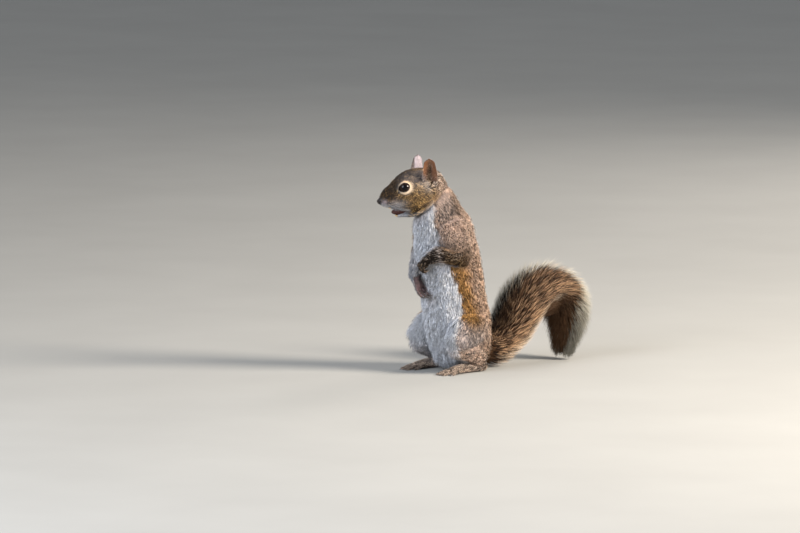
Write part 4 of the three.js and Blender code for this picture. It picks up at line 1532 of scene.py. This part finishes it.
def bandTail(hairs):
    # full-length hairs run through every band; short ones stop in the black, and underfur stops near its
    # dark root inside the arch and in the brown beyond it, as painted shade in the hollow; towards the root
    # end hairs are painted lighter against the shade there
    count, share, under = len(hairs["share"]), hairs["share"], hairs["under"]
    stop = np.clip(0.5 + 0.5 * hairs["reach"] + rng.normal(0, 0.06, count), 0.4, 1.0)
    mottle = smoothstep(-0.15, 0.15, softNoise(hairs["tip"], 2.3, 52))
    # painted light towards the root end: fewer black tips and lighter hairs where the tail lies in shade
    litBase = smoothstep(0.4, 0.2, share)
    blackTip = rng.random(count) < 0.25 + 0.65 * mottle - 0.2 * litBase
    stop = np.where(blackTip & (hairs["edge"] < 0.5), 0.72, stop)
    falling = smoothstep(0.6, 0.75, share)
    # painted shade: the underfur in the hollow stays dark
    stop = np.where(under, 0.12 + 0.38 * falling, stop)
    toneAndShade = rng.random(count) + 0.3 * litBase
    toneAndShade = np.where(under, 0.1 + 0.4 * falling, toneAndShade)
    return {"span": stop, "start": np.zeros(count), "toneAndShade": toneAndShade}


def groomTail():
    hairs = growTail()
    hair = bandTail(hairs)
    share, count, rings = hairs["share"], len(hairs["share"]), tailHair["rings"]
    marks = {"tail": np.ones(count), "fringe": hairs["edge"] * smoothstep(0.6, 0.95, hairs["reach"])}
    patch = np.stack([(hairs["turn"] / (2 * np.pi)) % 1, share], 1)
    blocks = math.ceil(count * tuftTriangles(rings) / pieceLimit)
    order = np.argsort(hairs["start"], kind="stable")
    for number, block in enumerate(np.array_split(order, blocks)):
        piece = tuftPiece(
            f"coatTail{number + 1}",
            hairs["spines"][block],
            hairs["aside"][block],
            hairs["outward"][block],
            rng.uniform(0.75, 1.25, len(block)) * tailHair["width"],
            {key: value[block] for key, value in marks.items()},
            {key: value[block] for key, value in hair.items()},
            patch[block],
            fur,
        )
        own(piece)
    print("tail", count, "hairs in", blocks, "pieces")


groomTail()


def addEyes():
    # a lathe about the looking axis: radius·(sin, cos) with the cornea bulging by 3 % at the front
    material, tree = newMaterial("wetEye")
    place = addNode(tree, "ShaderNodeAttribute", {"attribute_name": "iris"}).outputs["Fac"]
    rings = [(0.0, "#050506"), (0.42, "#060506"), (0.5, "#1d120b"), (0.8, "#150d09"), (1.0, "#070504")]
    tint = addRamp(tree, rings, place)
    shader = addNode(
        tree,
        "ShaderNodeBsdfPrincipled",
        {"Roughness": 0.04, "IOR": 1.36, "Specular IOR Level": 0.3},
        {"Base Color": tint},
    )
    addNode(tree, "ShaderNodeOutputMaterial", links={"Surface": shader.outputs[0]})
    for side, name in ((1, "left"), (-1, "right")):
        centre, slit, over, out = eyeFrame(side)
        polar = np.linspace(0, np.pi, 34)[1:-1]
        turn = np.linspace(0, 2 * np.pi, 48, endpoint=False)
        bulge = 1 + 0.03 * smoothstep(0.75, 0.35, polar) - 0.01 * smoothstep(0.75, 1.1, polar)
        radius = eyes["radius"] * bulge
        disc = slit[None] * np.cos(turn)[:, None] + over[None] * np.sin(turn)[:, None]
        rings = centre + disc[None] * (radius * np.sin(polar))[:, None, None]
        rings = rings + out * (radius * np.cos(polar))[:, None, None]
        poles = [centre + out * radius[0], centre - out * radius[-1]]
        points, triangles = gridSolid(rings, poles)
        ball = makePiece(f"eyeball_{name}", points, triangles)
        iris = np.concatenate([np.repeat(polar / 1.1, len(turn)), [0.0, 1.0]])
        mark = ball.data.attributes.new("iris", "FLOAT", "POINT")
        mark.data.foreach_set("value", iris.astype(np.float32))
        ball.data.materials.append(material)
        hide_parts(f"eye_{name}")
        own(ball)


addEyes()


def addClaws():
    # hooked cones of horn, deeper than wide, that narrow to a blunt point
    material, tree = newMaterial("clawHorn")
    place = addNode(tree, "ShaderNodeTexCoord").outputs["Object"]
    grain = addNode(tree, "ShaderNodeTexNoise", {"Scale": 900.0, "Detail": 3.0}, {"Vector": place})
    tint = addRamp(tree, [(0.3, "#231c18"), (0.7, "#3d322a")], grain.outputs[0])
    shader = addNode(
        tree,
        "ShaderNodeBsdfPrincipled",
        {"Roughness": 0.35, "IOR": 1.54, "Specular IOR Level": 0.45},
        {"Base Color": tint},
    )
    addNode(tree, "ShaderNodeOutputMaterial", links={"Surface": shader.outputs[0]})
    solids = [loftSolid(path, 0, sides=12, roundness=(0.6, 0.6), capRings=3) for path in clawPaths]
    points, triangles = joinSolids(solids)
    points[:, 2] = np.maximum(points[:, 2], 0.05)
    piece = makePiece("claws", points, triangles)
    piece.data.materials.append(material)
    return own(piece)


def addTeeth():
    # two pairs of chisel-tipped incisors in yellow-brown enamel
    material, tree = newMaterial("toothEnamel")
    place = addNode(tree, "ShaderNodeTexCoord").outputs["Object"]
    grain = addNode(tree, "ShaderNodeTexNoise", {"Scale": 700.0, "Detail": 2.0}, {"Vector": place})
    tint = addRamp(tree, [(0.3, "#b08a55"), (0.7, "#cbb083")], grain.outputs[0])
    shader = addNode(
        tree, "ShaderNodeBsdfPrincipled", {"Roughness": 0.3, "IOR": 1.6}, {"Base Color": tint}
    )
    addNode(tree, "ShaderNodeOutputMaterial", links={"Surface": shader.outputs[0]})
    upper = [((53.2, 0.85, -9), 0.8, 1), ((53.5, 0.85, -11.2), 0.78, 0.8), ((53.2, 0.85, -12.3), 0.7, 0.4)]
    lower = [((46.6, 0.65, -22), 0.6, 0.9), ((49.3, 0.65, -21.5), 0.6, 0.7), ((50, 0.65, -20.8), 0.5, 0.3)]
    solids = []
    for row in (upper, lower):
        for side in (1, -1):
            stations = [(*onHead(np.array(at) * [1, side, 1]), w, d) for at, w, d in row]
            solids.append(loftSolid(pathOf(stations, leftward, 0.3), 0, sides=16, capRings=3))
    points, triangles = joinSolids(solids)
    piece = makePiece("teeth", points, triangles)
    piece.data.materials.append(material)
    return own(piece)


whiskers = {"rows": 3, "each": 4, "width": 0.26, "length": (22, 36)}


def addWhiskers():
    # stiff hairs from rows on the whisker pads: a bent line out, back and down, tapering to nothing
    material, tree = newMaterial("whiskerHair")
    shader = addNode(
        tree, "ShaderNodeBsdfPrincipled", {"Base Color": toLinear("#2a2320"), "Roughness": 0.4, "IOR": 1.5}
    )
    addNode(tree, "ShaderNodeOutputMaterial", links={"Surface": shader.outputs[0]})
    solids = []
    for side in (1, -1):
        for row in range(whiskers["rows"]):
            for step in range(whiskers["each"]):
                place = np.array([55.5 - 2.1 * step, 7.2 + 0.9 * step, -3.6 - 2.1 * row + 0.3 * step])
                length = rng.uniform(*whiskers["length"]) * (0.8 + 0.07 * step)
                way = unit(np.array([-0.25 - 0.16 * step, 0.95, 0.22 - 0.3 * row + rng.normal(0, 0.07)]))
                s = np.linspace(0, 1, 7)[:, None]
                line = place + way * length * s + np.array([-0.3, 0, -0.16]) * length * s**2
                line = onHead(line * [1, side, 1])
                girth = whiskers["width"] / 2 * (1 - 0.9 * s[:, 0])
                stations = [(*at, g, g) for at, g in zip(line, girth)]
                path = pathOf(stations, crownward, 4)
                solids.append(loftSolid(path, 0, sides=4, roundness=(0.5, 0.5), capRings=1))
    points, triangles = joinSolids(solids)
    piece = makePiece("whiskers", points, triangles)
    piece.data.materials.append(material)
    return own(piece)


addClaws()
addTeeth()
addWhiskers()
print("eyes, claws, teeth and whiskers made")


def addStage():
    # a matt painted floor, with a faint roller texture
    material, tree = newMaterial("paintedFloor")
    place = addNode(tree, "ShaderNodeTexCoord").outputs["Object"]
    mottle = addNode(tree, "ShaderNodeTexNoise", {"Scale": 6.0, "Detail": 4.0}, {"Vector": place})
    tint = addRamp(tree, [(0.3, "#8e8e8b"), (0.7, "#92928f")], mottle.outputs[0])
    shader = addNode(
        tree,
        "ShaderNodeBsdfPrincipled",
        {"Roughness": 0.85, "Specular IOR Level": 0.2},
        {"Base Color": tint},
    )
    addNode(tree, "ShaderNodeOutputMaterial", links={"Surface": shader.outputs[0]})
    mesh = bpy.data.meshes.new("floor")
    size = 40
    corners = [(-size, -size, 0), (size, -size, 0), (size, size, 0), (-size, size, 0)]
    mesh.from_pydata(corners, [], [(0, 1, 2, 3)])
    floor = bpy.data.objects.new("floor", mesh)
    bpy.context.scene.collection.objects.link(floor)
    floor.data.materials.append(material)


# Soft studio light: (name, direction from the animal in camera axes, distance, size, watts, colour)
lamps = [
    ("key", (0.95, 0.45, 0.4), 2.2, 0.9, 165, "#fff3e4"),
    ("fill", (-0.65, 0.3, 0.8), 2.6, 1.8, 92, "#e8edf7"),
    ("rim", (0.6, 0.55, -0.9), 2.4, 1.0, 26, "#fff4e8"),
]


def addLights():
    middle = shift + np.array([0, 0.04, 0.1])
    for name, aim, distance, size, watts, colour in lamps:
        way = unit(aim[0] * right + aim[1] * up + aim[2] * back)
        light = bpy.data.lights.new(name, "AREA")
        light.shape, light.size, light.energy = "DISK", size, watts
        light.color = toLinear(colour)[:3]
        lamp = bpy.data.objects.new(name, light)
        side = unit(np.cross((0, 0, 1), way))
        over = np.cross(way, side)
        place = middle + way * distance
        turned = np.vstack([np.stack([side, over, way, place], 1), (0, 0, 0, 1)])
        lamp.matrix_world = Matrix(turned.tolist())
        bpy.context.scene.collection.objects.link(lamp)
    world = bpy.data.worlds.new("studio")
    world.use_nodes = True
    world.node_tree.nodes["Background"].inputs["Color"].default_value = toLinear("#e6ebf2")
    world.node_tree.nodes["Background"].inputs["Strength"].default_value = 0.55
    bpy.context.scene.world = world
    bpy.context.scene.view_settings.view_transform = "Standard"


addStage()
addLights()
print("stage and lights set")

triangleCount = sum(len(piece.data.polygons) for piece in pieces)
print("triangles in all:", triangleCount)
